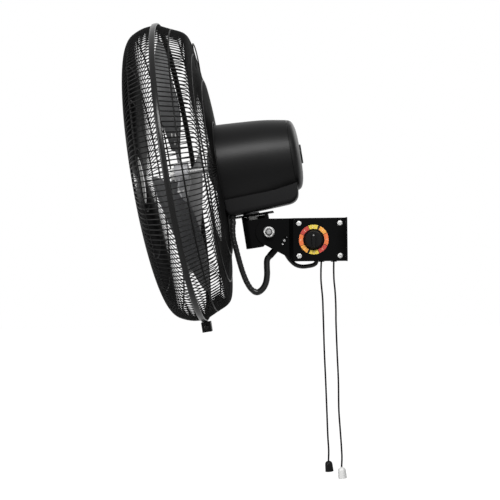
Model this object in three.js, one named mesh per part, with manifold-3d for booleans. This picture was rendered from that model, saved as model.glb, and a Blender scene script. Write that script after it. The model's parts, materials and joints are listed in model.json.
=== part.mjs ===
// A wall mounted oscillating fan: bracket with control box, tilting neck, motor head in a wire cage.
//
// Millimetres. The origin is the centre of the wall plate's back face. +Z is up, +X points into
// the wall, so the fan looks along -X, and the control cover with its knob faces -Y.
// The head leans down in front, so the neck and the head each have a frame of their own, turned
// about Y: first axis towards the wall, second axis +Y, third axis up.

import * as THREE from "three";
import { mergeVertices } from "three/addons/utils/BufferGeometryUtils.js";
import Module from "manifold-3d";

const wasm = await Module();
wasm.setup();

// ---------------------------------------------------------------- sizes

const GAP = 0.3; // clearance between neighbouring pieces
const DEGREE = Math.PI / 180;

// Bracket
const BOX_LENGTH = 99; // from the wall to the front edge of the control box
const BOX_HALF_HEIGHT = 40;
const BOX_HALF_WIDTH = 36;
const SHEET = 2.5; // thickness of the bracket's steel sheet
const WALL_PLATE_THICK = 3;
const WALL_PLATE_HALF_WIDTH = 75;
const WALL_SLOT_Y = 58;
const WALL_SLOT_Z = 24;
const WALL_SLOT_WIDTH = 9;
const WALL_SLOT_LENGTH = 16;
const JOGGLE_LENGTH = 8; // the strip where each side steps inwards
const NOSE_HALF_WIDTH = 27;
const NOSE_RADIUS = 25;
const NOSE_LOWER_EDGE_Z = -33.4; // where the nose's lower edge meets the joggle
const COVER_THICK = 1.5;

// Tilt joint
const TILT_X = -144;
const TILT_Z = 15;
const TILT_ANGLE = 8.5; // the head leans down by this angle as photographed
const BOLT_RADIUS = 5; // M10
const BOLT_HOLE_RADIUS = 5.3;
const NUT_ACROSS_FLATS = 17;
const WASHER_RADIUS = 10.5;
const WASHER_THICK = 2;
const NUT_HEIGHT = 8;
const GUIDE_RADIUS_FROM_BOLT = 32.5;
const GUIDE_ANGLE = -30;
const GUIDE_SLOT_HALF_ANGLE = 9.5;
const GUIDE_SLOT_HALF_WIDTH = 3.2;
const GUIDE_SCREW_RADIUS = 2.5;

// Controls on the cover
const KNOB_X = -61.3;
const KNOB_RADIUS = 17.8;
const DIAL_INNER = 19.3;
const DIAL_OUTER = 27.8;
const COVER_SCREW_X = [-88.4, -12.9];
const COVER_SCREW_Z = 30;
const COVER_SCREW_HEAD = 4.85;
const COVER_SCREW_SHANK = 2;
const CORD_Y = -19;
const CORD_RADIUS = 1.4;
const LEFT_CORD_X = -47.5;
const RIGHT_CORD_X = -24.6;
const JUMPER_RADIUS = 3.5;
const CABLE_RADIUS = 4.3;

// Neck, in its own frame: origin where the swing axis meets the top of the neck plate
const NECK_X = -178;
const NECK_Z = 48.4;
const PLATE_THICK = 3;
const PLATE_HALF_WIDTH = 25;
const CHANNEL_HALF_WIDTH = 24.1;
const CHANNEL_SHEET = 3;
const CHANNEL_BEND = 12;
const CHANNEL_FRONT = -18.5;
const CHANNEL_BOTTOM = -63;
const NUT_WINDOW_BOTTOM = -10.8;
const BOSS_RADIUS = 15.5;

// Head, in its own frame: origin where the motor axis meets the swing axis
const HEAD_HEIGHT = 97.5; // motor axis above the neck plate
const SHELL_WALL = 3;
const SHELL_FRONT = -43.4;
const SHELL_REAR = 92;
const SHAFT_RADIUS = 7;

// Cage, in the ring frame: origin at the centre of the clamp ring, x from front to rear
const RING_FORWARD = 117; // ring plane in front of the swing axis
const GUARD_RADIUS = 278; // of each guard's end hoop
const FRONT_GUARD_DEPTH = 77;
const REAR_GUARD_DEPTH = 72;
const WIRE_COUNT = 24;
const WIRE_RADIUS = 1.4;
const HOOP_RADIUS = 1.6;
const END_HOOP_X = 2;
const RING_INNER = GUARD_RADIUS + HOOP_RADIUS + GAP;
const RING_THICK = 2.6;
const RING_RADIUS = RING_INNER + RING_THICK;
const RING_HALF_WIDTH = 5.25;
const DISC_RADIUS = 47;

// Rotor
const TIP_CLEARANCE = 28; // from the blade tips to the guards' end hoops
const BLADE_TIP = GUARD_RADIUS - TIP_CLEARANCE;
const BLADE_ROOT = 43;
const BLADE_THICK = 1.6;
const BLADE_MIDDLE_X = -3.5;
const BLADE_ANGLES = [100, -20, -140]; // as photographed, from +Y towards +Z
const HUB_RADIUS = 21;

// ---------------------------------------------------------------- solids

function toSolid(geometry) {
  const bare = new THREE.BufferGeometry();
  bare.setAttribute("position", geometry.getAttribute("position"));
  bare.setIndex(geometry.getIndex());
  const merged = mergeVertices(bare, 1e-4);
  const make = (indices) =>
    new wasm.Manifold(
      new wasm.Mesh({
        numProp: 3,
        vertProperties: new Float32Array(merged.attributes.position.array),
        triVerts: new Uint32Array(indices),
      }),
    );
  const indices = Array.from(merged.index.array);
  const solid = make(indices);
  return solid.volume() < 0 ? make(indices.reverse()) : solid;
}

function toGeometry(solid) {
  const mesh = solid.getMesh();
  const geometry = new THREE.BufferGeometry();
  const positions = new Float32Array(mesh.numVert * 3);
  for (let i = 0; i < mesh.numVert; i++) {
    positions.set(mesh.vertProperties.subarray(i * mesh.numProp, i * mesh.numProp + 3), i * 3);
  }
  geometry.setAttribute("position", new THREE.BufferAttribute(positions, 3));
  geometry.setIndex(new THREE.BufferAttribute(mesh.triVerts, 1));
  return geometry;
}

const joined = (...pieces) => toGeometry(wasm.Manifold.union(pieces.map(toSolid)));
const cut = (piece, ...tools) =>
  toGeometry(wasm.Manifold.difference([toSolid(piece), ...tools.map(toSolid)]));
const shared = (one, other) => toGeometry(toSolid(one).intersect(toSolid(other)));

// ---------------------------------------------------------------- basic shapes

const outline = (points) => new THREE.Shape(points.map(([x, y]) => new THREE.Vector2(x, y)));

function circle(x, y, radius, sides = 14) {
  const points = [];
  for (let i = 0; i < sides; i++) {
    const angle = (2 * Math.PI * i) / sides;
    points.push([x + radius * Math.cos(angle), y + radius * Math.sin(angle)]);
  }
  return points;
}

function hexagon(x, y, acrossFlats) {
  return circle(x, y, acrossFlats / Math.sqrt(3), 6);
}

// Points of an arc, both ends included, angles in degrees.
function arc(x, y, radius, from, to, steps) {
  const points = [];
  for (let i = 0; i <= steps; i++) {
    const angle = (from + ((to - from) * i) / steps) * DEGREE;
    points.push([x + radius * Math.cos(angle), y + radius * Math.sin(angle)]);
  }
  return points;
}

function extruded(points, holes, depth) {
  const shape = outline(points);
  for (const hole of holes) shape.holes.push(outline(hole));
  return new THREE.ExtrudeGeometry(shape, { depth, bevelEnabled: false });
}

// An outline in X and Z, given depth along Y.
function sideways(points, holes, fromY, toY) {
  return extruded(points, holes, toY - fromY).rotateX(Math.PI / 2).translate(0, toY, 0);
}

// An outline in X and Y, given height along Z.
function upright(points, holes, fromZ, toZ) {
  return extruded(points, holes, toZ - fromZ).translate(0, 0, fromZ);
}

// An outline in Y and Z, given depth along X.
function facing(points, holes, fromX, toX) {
  const turn = new THREE.Matrix4().makeBasis(
    new THREE.Vector3(0, 1, 0),
    new THREE.Vector3(0, 0, 1),
    new THREE.Vector3(1, 0, 0),
  );
  return extruded(points, holes, toX - fromX).applyMatrix4(turn).translate(fromX, 0, 0);
}

const rectangle = (x0, y0, x1, y1) => [
  [x0, y0],
  [x1, y0],
  [x1, y1],
  [x0, y1],
];

function block(x0, x1, y0, y1, z0, z1) {
  return new THREE.BoxGeometry(x1 - x0, y1 - y0, z1 - z0).translate(
    (x0 + x1) / 2,
    (y0 + y1) / 2,
    (z0 + z1) / 2,
  );
}

// A profile of [along, radius] pairs turned about X.
function turned(profile, sides = 48) {
  const points = profile.map(([along, radius]) => new THREE.Vector2(radius, along));
  return new THREE.LatheGeometry(points, sides).rotateZ(-Math.PI / 2);
}

// The same profile turned about Z or about Y.
const turnedZ = (profile, sides = 14) => turned(profile, sides).rotateY(-Math.PI / 2);
const turnedY = (profile, sides = 14) => turned(profile, sides).rotateZ(Math.PI / 2);

// A ring with a square section about X.
const collar = (from, to, inner, outer, sides = 32) =>
  turned(
    [
      [from, inner],
      [to, inner],
      [to, outer],
      [from, outer],
      [from, inner],
    ],
    sides,
  );

const cylinder = (from, to, radius) => [
  [from, 0],
  [from, radius],
  [to, radius],
  [to, 0],
];

function tube(points, radius, sides, steps) {
  const path = new THREE.CatmullRomCurve3(points.map(([x, y, z]) => new THREE.Vector3(x, y, z)));
  return new THREE.ExtrudeGeometry(outline(circle(0, 0, radius, sides)), {
    steps,
    extrudePath: path,
    bevelEnabled: false,
  });
}

// Each vertex moved by a rule.
function reshaped(geometry, rule) {
  const place = geometry.getAttribute("position");
  const point = new THREE.Vector3();
  for (let i = 0; i < place.count; i++) {
    point.fromBufferAttribute(place, i);
    rule(point);
    place.setXYZ(i, point.x, point.y, point.z);
  }
  return geometry;
}

// ---------------------------------------------------------------- frames

const lean = new THREE.Matrix4().makeRotationY(-TILT_ANGLE * DEGREE);
const neckFrame = new THREE.Matrix4().makeTranslation(NECK_X, 0, NECK_Z).multiply(lean);
const headFrame = neckFrame.clone().multiply(new THREE.Matrix4().makeTranslation(0, 0, HEAD_HEIGHT));
const ringFrame = headFrame
  .clone()
  .multiply(new THREE.Matrix4().makeTranslation(-RING_FORWARD, 0, 0));

// Where a point of the bracket's frame lies in the neck's frame, both as [x, z].
function inNeck(x, z) {
  const point = new THREE.Vector3(x, 0, z).applyMatrix4(neckFrame.clone().invert());
  return [point.x, point.z];
}

// ---------------------------------------------------------------- materials

const finish = (color, roughness, metalness) =>
  new THREE.MeshStandardMaterial({ color, roughness, metalness });

const blackSteel = finish(0x111111, 0.45, 0.3);
const blackShell = finish(0x0d0d0d, 0.25, 0.1);
const blackPlastic = finish(0x141414, 0.55, 0);
const blackWire = finish(0x151515, 0.35, 0.2);
const greyPlastic = finish(0xb9bab8, 0.5, 0);
const whitePlastic = finish(0xe6e6e2, 0.45, 0);
const zinc = finish(0xb8b8b4, 0.35, 0.9);
const bareSteel = finish(0x9a9a98, 0.3, 1);
const darkMetal = finish(0x26282a, 0.3, 0.6);
const copper = finish(0x9c5a34, 0.45, 0.8);
const castAluminium = finish(0x8b8d8e, 0.5, 0.9);
const dialPrint = finish(0xe0a53c, 0.6, 0);
const cableRubber = finish(0x101010, 0.6, 0);

const fan = new THREE.Group();

function add(name, geometry, material, frame) {
  const closed = toGeometry(toSolid(geometry));
  closed.computeVertexNormals();
  const mesh = new THREE.Mesh(closed, material.clone());
  mesh.name = name;
  if (frame) mesh.applyMatrix4(frame);
  fan.add(mesh);
}

// ---------------------------------------------------------------- bracket

const BOX_BACK = -WALL_PLATE_THICK - GAP;
const BOX_FRONT = -BOX_LENGTH;
const JOGGLE_FRONT = BOX_FRONT - JOGGLE_LENGTH;
const COVER_OUTSIDE = -BOX_HALF_WIDTH - GAP - COVER_THICK;

function wallPlate() {
  const slots = [];
  const endRadius = WALL_SLOT_WIDTH / 2;
  const endOffset = WALL_SLOT_LENGTH / 2 - endRadius;
  for (const side of [-1, 1]) {
    for (const level of [-1, 1]) {
      const y = side * WALL_SLOT_Y;
      const z = level * WALL_SLOT_Z;
      slots.push([
        ...arc(y + endOffset, z, endRadius, -90, 90, 4),
        ...arc(y - endOffset, z, endRadius, 90, 270, 4),
      ]);
    }
  }
  const corner = 5;
  const y = WALL_PLATE_HALF_WIDTH - corner;
  const z = BOX_HALF_HEIGHT - corner;
  const edge = [
    ...arc(y, z, corner, 0, 90, 3),
    ...arc(-y, z, corner, 90, 180, 3),
    ...arc(-y, -z, corner, 180, 270, 3),
    ...arc(y, -z, corner, 270, 360, 3),
  ];
  return facing(edge, slots, -WALL_PLATE_THICK, 0);
}

// The slot that the guide screw runs in, concentric with the tilt bolt.
function guideSlot() {
  const from = GUIDE_ANGLE - GUIDE_SLOT_HALF_ANGLE;
  const to = GUIDE_ANGLE + GUIDE_SLOT_HALF_ANGLE;
  const middle = GUIDE_RADIUS_FROM_BOLT;
  const half = GUIDE_SLOT_HALF_WIDTH;
  const end = (angle, turn) => {
    const x = TILT_X + middle * Math.cos(angle * DEGREE);
    const z = TILT_Z + middle * Math.sin(angle * DEGREE);
    return arc(x, z, half, angle + turn, angle + turn + 180, 5);
  };
  const inner = arc(TILT_X, TILT_Z, middle - half, to, from, 3).slice(1, -1);
  const outer = arc(TILT_X, TILT_Z, middle + half, from, to, 3).slice(1, -1);
  return [...end(to, 0), ...inner, ...end(from, 180), ...outer];
}

// One side of the arm: box side, joggle and nose plate in one folded sheet.
function armSide(side, holes) {
  const lowerEdgeAngle = 241.6; // where the nose's round end runs into its straight lower edge
  const silhouette = [
    [BOX_BACK, BOX_HALF_HEIGHT],
    ...arc(TILT_X, TILT_Z, NOSE_RADIUS, 90, lowerEdgeAngle, 12),
    [JOGGLE_FRONT, NOSE_LOWER_EDGE_Z],
    [BOX_FRONT, -BOX_HALF_HEIGHT],
    [BOX_BACK, -BOX_HALF_HEIGHT],
  ];
  const mitre = 1.12; // inner bend lines lie this far behind the outer ones
  const front = TILT_X - NOSE_RADIUS - 1;
  const strip = [
    [BOX_BACK, BOX_HALF_WIDTH],
    [BOX_FRONT, BOX_HALF_WIDTH],
    [JOGGLE_FRONT, NOSE_HALF_WIDTH],
    [front, NOSE_HALF_WIDTH],
    [front, NOSE_HALF_WIDTH - SHEET],
    [JOGGLE_FRONT + mitre, NOSE_HALF_WIDTH - SHEET],
    [BOX_FRONT + mitre, BOX_HALF_WIDTH - SHEET],
    [BOX_BACK, BOX_HALF_WIDTH - SHEET],
  ].map(([x, y]) => [x, side * y]);
  const reach = BOX_HALF_WIDTH + 2;
  const plate = sideways(
    silhouette,
    [circle(TILT_X, TILT_Z, BOLT_HOLE_RADIUS), guideSlot(), ...holes],
    -reach,
    reach,
  );
  return shared(plate, upright(strip, [], -BOX_HALF_HEIGHT - 1, BOX_HALF_HEIGHT + 1));
}

const coverScrewPlaces = COVER_SCREW_X.flatMap((x) => [
  [x, COVER_SCREW_Z],
  [x, -COVER_SCREW_Z],
]);
const coverScrewHoles = coverScrewPlaces.map(([x, z]) => circle(x, z, COVER_SCREW_SHANK + GAP, 8));
const accessHole = rectangle(-80, -24, -12, 24);

add("wall_plate", wallPlate(), blackSteel);
add("arm_side_near", armSide(-1, [...coverScrewHoles, accessHole]), blackSteel);
add("arm_side_far", armSide(1, []), blackSteel);

const JUMPER_IN_X = -57;
const JUMPER_IN_Y = -9;
const GROMMET_HOLE = 4.2;
const innerHalf = BOX_HALF_WIDTH - SHEET - GAP;
const boxPlan = rectangle(BOX_FRONT + 2, -innerHalf, BOX_BACK, innerHalf);
const floorHoles = [
  circle(LEFT_CORD_X, CORD_Y, GROMMET_HOLE, 12),
  circle(RIGHT_CORD_X, CORD_Y, GROMMET_HOLE, 12),
  circle(JUMPER_IN_X, JUMPER_IN_Y, JUMPER_RADIUS + 1, 12),
];
add("box_roof", upright(boxPlan, [], BOX_HALF_HEIGHT - SHEET, BOX_HALF_HEIGHT), blackSteel);
add(
  "box_floor",
  upright(boxPlan, floorHoles, -BOX_HALF_HEIGHT, SHEET - BOX_HALF_HEIGHT),
  blackSteel,
);

add(
  "control_cover",
  sideways(
    rectangle(BOX_FRONT, -BOX_HALF_HEIGHT, -3, BOX_HALF_HEIGHT),
    [...coverScrewHoles, circle(KNOB_X, 0, 5)],
    COVER_OUTSIDE,
    -BOX_HALF_WIDTH - GAP,
  ),
  blackSteel,
);

// Pan head screws, heads towards -Y.
function panScrew(headRadius, headHeight, shankRadius, length) {
  return turnedY(
    [
      [-headHeight, 0],
      [-headHeight, headRadius * 0.5],
      [-headHeight * 0.5, headRadius],
      [0, headRadius],
      [0, shankRadius],
      [length, shankRadius],
      [length, 0],
    ],
    8,
  );
}

coverScrewPlaces.forEach(([x, z], i) => {
  const screw = panScrew(COVER_SCREW_HEAD, 2.8, COVER_SCREW_SHANK, 9);
  add("cover_screw_" + (i + 1), screw.translate(x, COVER_OUTSIDE - GAP, z), zinc);
});

add(
  "dial_ring",
  turnedY(
    [
      [0, DIAL_INNER],
      [0.6, DIAL_INNER],
      [0.6, DIAL_OUTER],
      [0, DIAL_OUTER],
      [0, DIAL_INNER],
    ],
    24,
  ).translate(KNOB_X, COVER_OUTSIDE - GAP - 0.6, 0),
  dialPrint,
);

const SWITCH_FRONT = -30;

function speedKnob() {
  const base = COVER_OUTSIDE - GAP;
  const cap = turnedY(
    [
      [-8.5, 0],
      [-8.5, 13.5],
      [-7, 15.4],
      [-4, 16],
      [-3.5, KNOB_RADIUS],
      [0, KNOB_RADIUS],
      [0, 3],
      [SWITCH_FRONT - GAP - base, 3],
      [SWITCH_FRONT - GAP - base, 0],
    ],
    18,
  );
  const grip = sideways(
    [[-3.6, -15], [3.6, -15], [4.4, 6], [0, 15.4], [-4.4, 6]],
    [],
    -14,
    -4,
  );
  return joined(cap, grip).translate(KNOB_X, base, 0);
}

add("speed_knob", speedKnob(), blackPlastic);
add("rotary_switch", block(-80, -42, SWITCH_FRONT, -9, -20, 20), blackPlastic);
add("swing_pull_switch", block(-34, -15, SWITCH_FRONT, -9, -14, 14), blackPlastic);

// The run capacitor and the terminal block are seated on the far side of the box.
const FAR_SEAT = BOX_HALF_WIDTH - SHEET - GAP;
add(
  "run_capacitor",
  turned(cylinder(-58, -14, 14), 16).translate(0, FAR_SEAT - 14, 18),
  greyPlastic,
);
add("terminal_block", block(-88, -30, FAR_SEAT - 16, FAR_SEAT, -26, -8), whitePlastic);

// Grommets in the floor of the box, one for each pull cord.
function grommet(x) {
  const bore = CORD_RADIUS + 1;
  const waist = GROMMET_HOLE - GAP;
  const flange = GROMMET_HOLE + 1.4;
  const low = -BOX_HALF_HEIGHT - GAP;
  const high = SHEET - BOX_HALF_HEIGHT + GAP;
  return turnedZ(
    [
      [low - 1.2, bore],
      [high + 1.2, bore],
      [high + 1.2, flange],
      [high, flange],
      [high, waist],
      [low, waist],
      [low, flange],
      [low - 1.2, flange],
      [low - 1.2, bore],
    ],
    10,
  ).translate(x, CORD_Y, 0);
}

add("cord_grommet_left", grommet(LEFT_CORD_X), blackPlastic);
add("cord_grommet_right", grommet(RIGHT_CORD_X), blackPlastic);

// ---------------------------------------------------------------- tilt joint

function hexNut(fromY, height, holeRadius) {
  return sideways(
    hexagon(TILT_X, TILT_Z, NUT_ACROSS_FLATS),
    [circle(TILT_X, TILT_Z, holeRadius)],
    fromY,
    fromY + height,
  );
}

const NUT_OUTSIDE = -NOSE_HALF_WIDTH - WASHER_THICK - NUT_HEIGHT - 3 * GAP;
const boltHead = sideways(
  hexagon(TILT_X, TILT_Z, NUT_ACROSS_FLATS),
  [],
  NOSE_HALF_WIDTH + GAP,
  NOSE_HALF_WIDTH + GAP + 6.5,
);
const boltShank = turnedY(
  [
    [NUT_OUTSIDE - 4, 0],
    [NUT_OUTSIDE - 4, BOLT_RADIUS - 1],
    [NUT_OUTSIDE - 3, BOLT_RADIUS],
    [NOSE_HALF_WIDTH + 1, BOLT_RADIUS],
    [NOSE_HALF_WIDTH + 1, 0],
  ],
).translate(TILT_X, 0, TILT_Z);
add("tilt_bolt", joined(boltHead, boltShank), zinc);
add(
  "tilt_washer",
  sideways(
    circle(TILT_X, TILT_Z, WASHER_RADIUS, 16),
    [circle(TILT_X, TILT_Z, BOLT_HOLE_RADIUS)],
    -NOSE_HALF_WIDTH - GAP - WASHER_THICK,
    -NOSE_HALF_WIDTH - GAP,
  ),
  zinc,
);
add("tilt_nut", hexNut(NUT_OUTSIDE + GAP, NUT_HEIGHT, BOLT_HOLE_RADIUS), zinc);

// ---------------------------------------------------------------- cables and pull cords

const SLEEVE_LOW = new THREE.Vector3(-145.5, 0, -31);
const SLEEVE_HIGH = new THREE.Vector3(-131.5, 0, -15.5);

// The strain relief: a rubber sleeve on a cross bar between the two nose plates.
function strainRelief() {
  const along = SLEEVE_HIGH.clone().sub(SLEEVE_LOW);
  const sleeve = turned(
    [
      [0, 0],
      [0, CABLE_RADIUS + 1],
      [3, CABLE_RADIUS + 2],
      [along.length(), CABLE_RADIUS + 2],
      [along.length(), 0],
    ],
    12,
  )
    .rotateY(-Math.atan2(along.z, along.x))
    .translate(SLEEVE_LOW.x, 0, SLEEVE_LOW.z);
  const reach = NOSE_HALF_WIDTH - SHEET - GAP;
  return joined(sleeve, block(-137, -133, -reach, reach, -18.5, -15.5));
}

add("cable_strain_relief", strainRelief(), blackPlastic);

const direction = SLEEVE_HIGH.clone().sub(SLEEVE_LOW).normalize();
const beyondSleeve = (distance) => SLEEVE_HIGH.clone().addScaledVector(direction, distance).toArray();
const beforeSleeve = (distance) => SLEEVE_LOW.clone().addScaledVector(direction, -distance).toArray();

add(
  "jumper_cable",
  tube(
    [
      beyondSleeve(GAP),
      beyondSleeve(3),
      [-122.5, -2, -12.5],
      [-117, -3.5, -19.5],
      [-110, -6, -32],
      [-102.6, -8, -41],
      [-94.8, -9, -47],
      [-83.7, -9, -50],
      [-71, -9, -49],
      [-62.3, -9, -47],
      [-57.7, JUMPER_IN_Y, -43.5],
      [JUMPER_IN_X, JUMPER_IN_Y, -40],
      [JUMPER_IN_X, JUMPER_IN_Y, -34],
    ],
    JUMPER_RADIUS,
    8,
    15,
  ),
  cableRubber,
);

// The motor cable hangs in a U from the gland under the head to the strain relief. The stretch
// nearer the head has a spiral sleeve, and the rest is smooth. Both follow one curve and meet
// face to face.
const GLAND_X = -34;
const GLAND_Y = -32;
const SLEEVED_LENGTH = 147;
const belowGland = (distance) =>
  new THREE.Vector3(GLAND_X, GLAND_Y, -3 - distance).applyMatrix4(neckFrame).toArray();
const cableCurve = new THREE.CatmullRomCurve3(
  [
    belowGland(GAP),
    belowGland(7),
    [-211.2, GLAND_Y, 24],
    [-210.3, -29, 4.4],
    [-205.9, -25, -15],
    [-200.2, -18, -39.2],
    [-194.4, -10, -60.4],
    [-187, -4, -79.5],
    [-178, 0, -93],
    [-168.5, 0, -97.6],
    [-159.5, 0, -92.5],
    [-152.4, 0, -80.9],
    [-149.6, 0, -64.8],
    [-149.8, 0, -49.8],
    [-149.6, 0, -39],
    beforeSleeve(3.5),
    beforeSleeve(GAP),
  ].map(([x, y, z]) => new THREE.Vector3(x, y, z)),
);
const cableLength = cableCurve.getLength();

// A stretch of the cable between two distances along it.
function cableStretch(from, to, steps) {
  const distances = [from, from + 1];
  for (let i = 1; i < steps; i++) distances.push(from + ((to - from) * i) / steps);
  distances.push(to - 1, to);
  const points = distances.map((d) => cableCurve.getPointAt(d / cableLength).toArray());
  return tube(points, CABLE_RADIUS, 8, steps);
}

add("cable_upper", cableStretch(0, SLEEVED_LENGTH - GAP / 2, 14), cableRubber);
add("cable_lower", cableStretch(SLEEVED_LENGTH + GAP / 2, cableLength, 13), cableRubber);

// A pull cord hangs straight through its grommet and then in the slight waves of the photograph.
function pullCord(x, top, bellTop, waves) {
  const points = [
    [x, CORD_Y, top],
    [x, CORD_Y, -BOX_HALF_HEIGHT - 12],
    ...waves.map(([wx, wz]) => [wx, CORD_Y, wz]),
    bellTop,
  ];
  return tube(points, CORD_RADIUS, 8, 12);
}

// A bell-shaped pull at a cord's end: a dome on a cone, along its own axis downwards.
function pullBell(radius, height) {
  return turnedZ(
    [
      [0, 0],
      [0, radius * 0.42],
      [-height * 0.12, radius * 0.72],
      [-height * 0.38, radius * 0.86],
      [-height, radius],
      [-height, 0],
    ],
    14,
  );
}

const LEFT_BELL_TOP = [-38.5, CORD_Y, -411];
const RIGHT_BELL_TOP = [-14.4, CORD_Y, -422.7];
const BELL_LEAN = 5;
add(
  "pull_cord_left",
  pullCord(LEFT_CORD_X, -20 - GAP, [LEFT_BELL_TOP[0], CORD_Y, LEFT_BELL_TOP[2] + GAP], [
    [-48.7, -76],
    [-47.2, -95],
    [-45.9, -113],
    [-45.1, -150],
    [-44, -206],
    [-42.1, -262],
    [-40.5, -318],
    [-39.1, -373],
    [-38, -392],
  ]),
  cableRubber,
);
add(
  "pull_cord_right",
  pullCord(RIGHT_CORD_X, -14 - GAP, [RIGHT_BELL_TOP[0], CORD_Y, RIGHT_BELL_TOP[2] + GAP], [
    [-24.6, -76],
    [-23, -95],
    [-22.1, -113],
    [-21.7, -150],
    [-20.4, -206],
    [-18.5, -262],
    [-18.2, -318],
    [-14.9, -373],
    [-13.7, -403],
  ]),
  cableRubber,
);
add(
  "pull_bell_left",
  pullBell(7.7, 21).rotateY(-BELL_LEAN * DEGREE).translate(...LEFT_BELL_TOP),
  blackPlastic,
);
add(
  "pull_bell_right",
  pullBell(8, 22).rotateY(-BELL_LEAN * DEGREE).translate(...RIGHT_BELL_TOP),
  whitePlastic,
);

// ---------------------------------------------------------------- neck

const boltInNeck = inNeck(TILT_X, TILT_Z);
const guideInNeck = inNeck(
  TILT_X + GUIDE_RADIUS_FROM_BOLT * Math.cos(GUIDE_ANGLE * DEGREE),
  TILT_Z + GUIDE_RADIUS_FROM_BOLT * Math.sin(GUIDE_ANGLE * DEGREE),
);

add(
  "neck_plate",
  upright(
    [
      [-36.5, -11],
      [-21, -PLATE_HALF_WIDTH],
      [42, -PLATE_HALF_WIDTH],
      [42, PLATE_HALF_WIDTH],
      [-21, PLATE_HALF_WIDTH],
      [-36.5, 11],
    ],
    [circle(0, 0, BOLT_HOLE_RADIUS)],
    -PLATE_THICK,
    0,
  ),
  blackSteel,
  neckFrame,
);

// The channel under the plate: web in front, legs back to the tilt bolt.
function neckChannel() {
  const top = -PLATE_THICK - GAP;
  const rear = 31;
  const [guideX, guideZ] = guideInNeck;
  const silhouette = [
    [CHANNEL_FRONT - 1, top],
    [CHANNEL_FRONT - 1, CHANNEL_BOTTOM],
    [12, CHANNEL_BOTTOM],
    [20, -56],
    [42, -56],
    ...arc(guideX, guideZ, 7, 230, 400, 6),
    [rear + 13, -22],
    [rear, -14],
    [rear, top],
  ];
  const outer = CHANNEL_HALF_WIDTH;
  const inner = outer - CHANNEL_SHEET;
  const bend = CHANNEL_BEND;
  const farEnd = guideX + 8;
  const plan = [
    [farEnd, -outer],
    [farEnd, -inner],
    ...arc(CHANNEL_FRONT + bend, bend - outer, bend - CHANNEL_SHEET, 270, 180, 3),
    ...arc(CHANNEL_FRONT + bend, outer - bend, bend - CHANNEL_SHEET, 180, 90, 3),
    [farEnd, inner],
    [farEnd, outer],
    ...arc(CHANNEL_FRONT + bend, outer - bend, bend, 90, 180, 3),
    ...arc(CHANNEL_FRONT + bend, bend - outer, bend, 180, 270, 3),
  ];
  const holes = [
    circle(...boltInNeck, BOLT_HOLE_RADIUS),
    circle(...guideInNeck, GUIDE_SCREW_RADIUS + GAP, 16),
  ];
  const folded = shared(
    sideways(silhouette, holes, -outer - 1, outer + 1),
    upright(plan, [], -80, 0),
  );
  // the near leg is open at its top, where a spanner reaches the swivel nut
  return cut(folded, block(-13, 25, -outer - 1, 0, NUT_WINDOW_BOTTOM, 0));
}

add("neck_channel", neckChannel(), blackSteel, neckFrame);

const GUIDE_HEAD = 3;
add(
  "guide_screw",
  turnedY(
    [
      [-NOSE_HALF_WIDTH - 0.6, 0],
      [-NOSE_HALF_WIDTH - 0.6, GUIDE_SCREW_RADIUS],
      [GAP + CHANNEL_SHEET - CHANNEL_HALF_WIDTH, GUIDE_SCREW_RADIUS],
      [GAP + CHANNEL_SHEET - CHANNEL_HALF_WIDTH, 4.4],
      [GAP + CHANNEL_SHEET - CHANNEL_HALF_WIDTH + GUIDE_HEAD, 4.4],
      [GAP + CHANNEL_SHEET - CHANNEL_HALF_WIDTH + GUIDE_HEAD, 0],
    ],
    12,
  ).translate(guideInNeck[0], 0, guideInNeck[1]),
  zinc,
  neckFrame,
);

const SWIVEL_NUT_HEIGHT = 7;
const BUSH_TOP = 11;
const swivelHead = upright(
  hexagon(0, 0, NUT_ACROSS_FLATS),
  [],
  BUSH_TOP + GAP,
  BUSH_TOP + GAP + 6,
);
const swivelShank = turnedZ(
  cylinder(-PLATE_THICK - GAP - SWIVEL_NUT_HEIGHT - 2, BUSH_TOP + 1, BOLT_RADIUS),
);
add("swivel_bolt", joined(swivelHead, swivelShank), zinc, neckFrame);
add(
  "swivel_nut",
  upright(
    hexagon(0, 0, NUT_ACROSS_FLATS),
    [circle(0, 0, BOLT_HOLE_RADIUS)],
    -PLATE_THICK - GAP - SWIVEL_NUT_HEIGHT,
    -PLATE_THICK - GAP,
  ),
  zinc,
  neckFrame,
);

// ---------------------------------------------------------------- head

// The bush that the head swings on, in the neck's frame but carried by the head.
const BUSH_FLANGE_TOP = 3.1;
const BUSH_STEM = 8;
add(
  "swivel_boss",
  turnedZ(
    [
      [GAP + 0.1, BOLT_HOLE_RADIUS],
      [GAP + 0.1, BOSS_RADIUS],
      [BUSH_FLANGE_TOP, BOSS_RADIUS],
      [BUSH_FLANGE_TOP, BUSH_STEM],
      [BUSH_TOP, BUSH_STEM],
      [BUSH_TOP, BOLT_HOLE_RADIUS],
      [GAP + 0.1, BOLT_HOLE_RADIUS],
    ],
    14,
  ),
  castAluminium,
  neckFrame,
);

// Outline of the motor shell: [distance behind the swing axis, radius].
const SHELL_OUTLINE = [
  [SHELL_FRONT, 79],
  [0, 76.2],
  [43, 73],
  [67, 69.5],
  [SHELL_REAR, 65.6],
];
const shellInside = SHELL_OUTLINE.filter((_, i) => i % 2 === 0)
  .map(([x, r]) => [x, r - SHELL_WALL])
  .reverse();
add(
  "motor_shell",
  turned([...SHELL_OUTLINE, ...shellInside, SHELL_OUTLINE[0]], 30),
  blackShell,
  headFrame,
);

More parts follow.
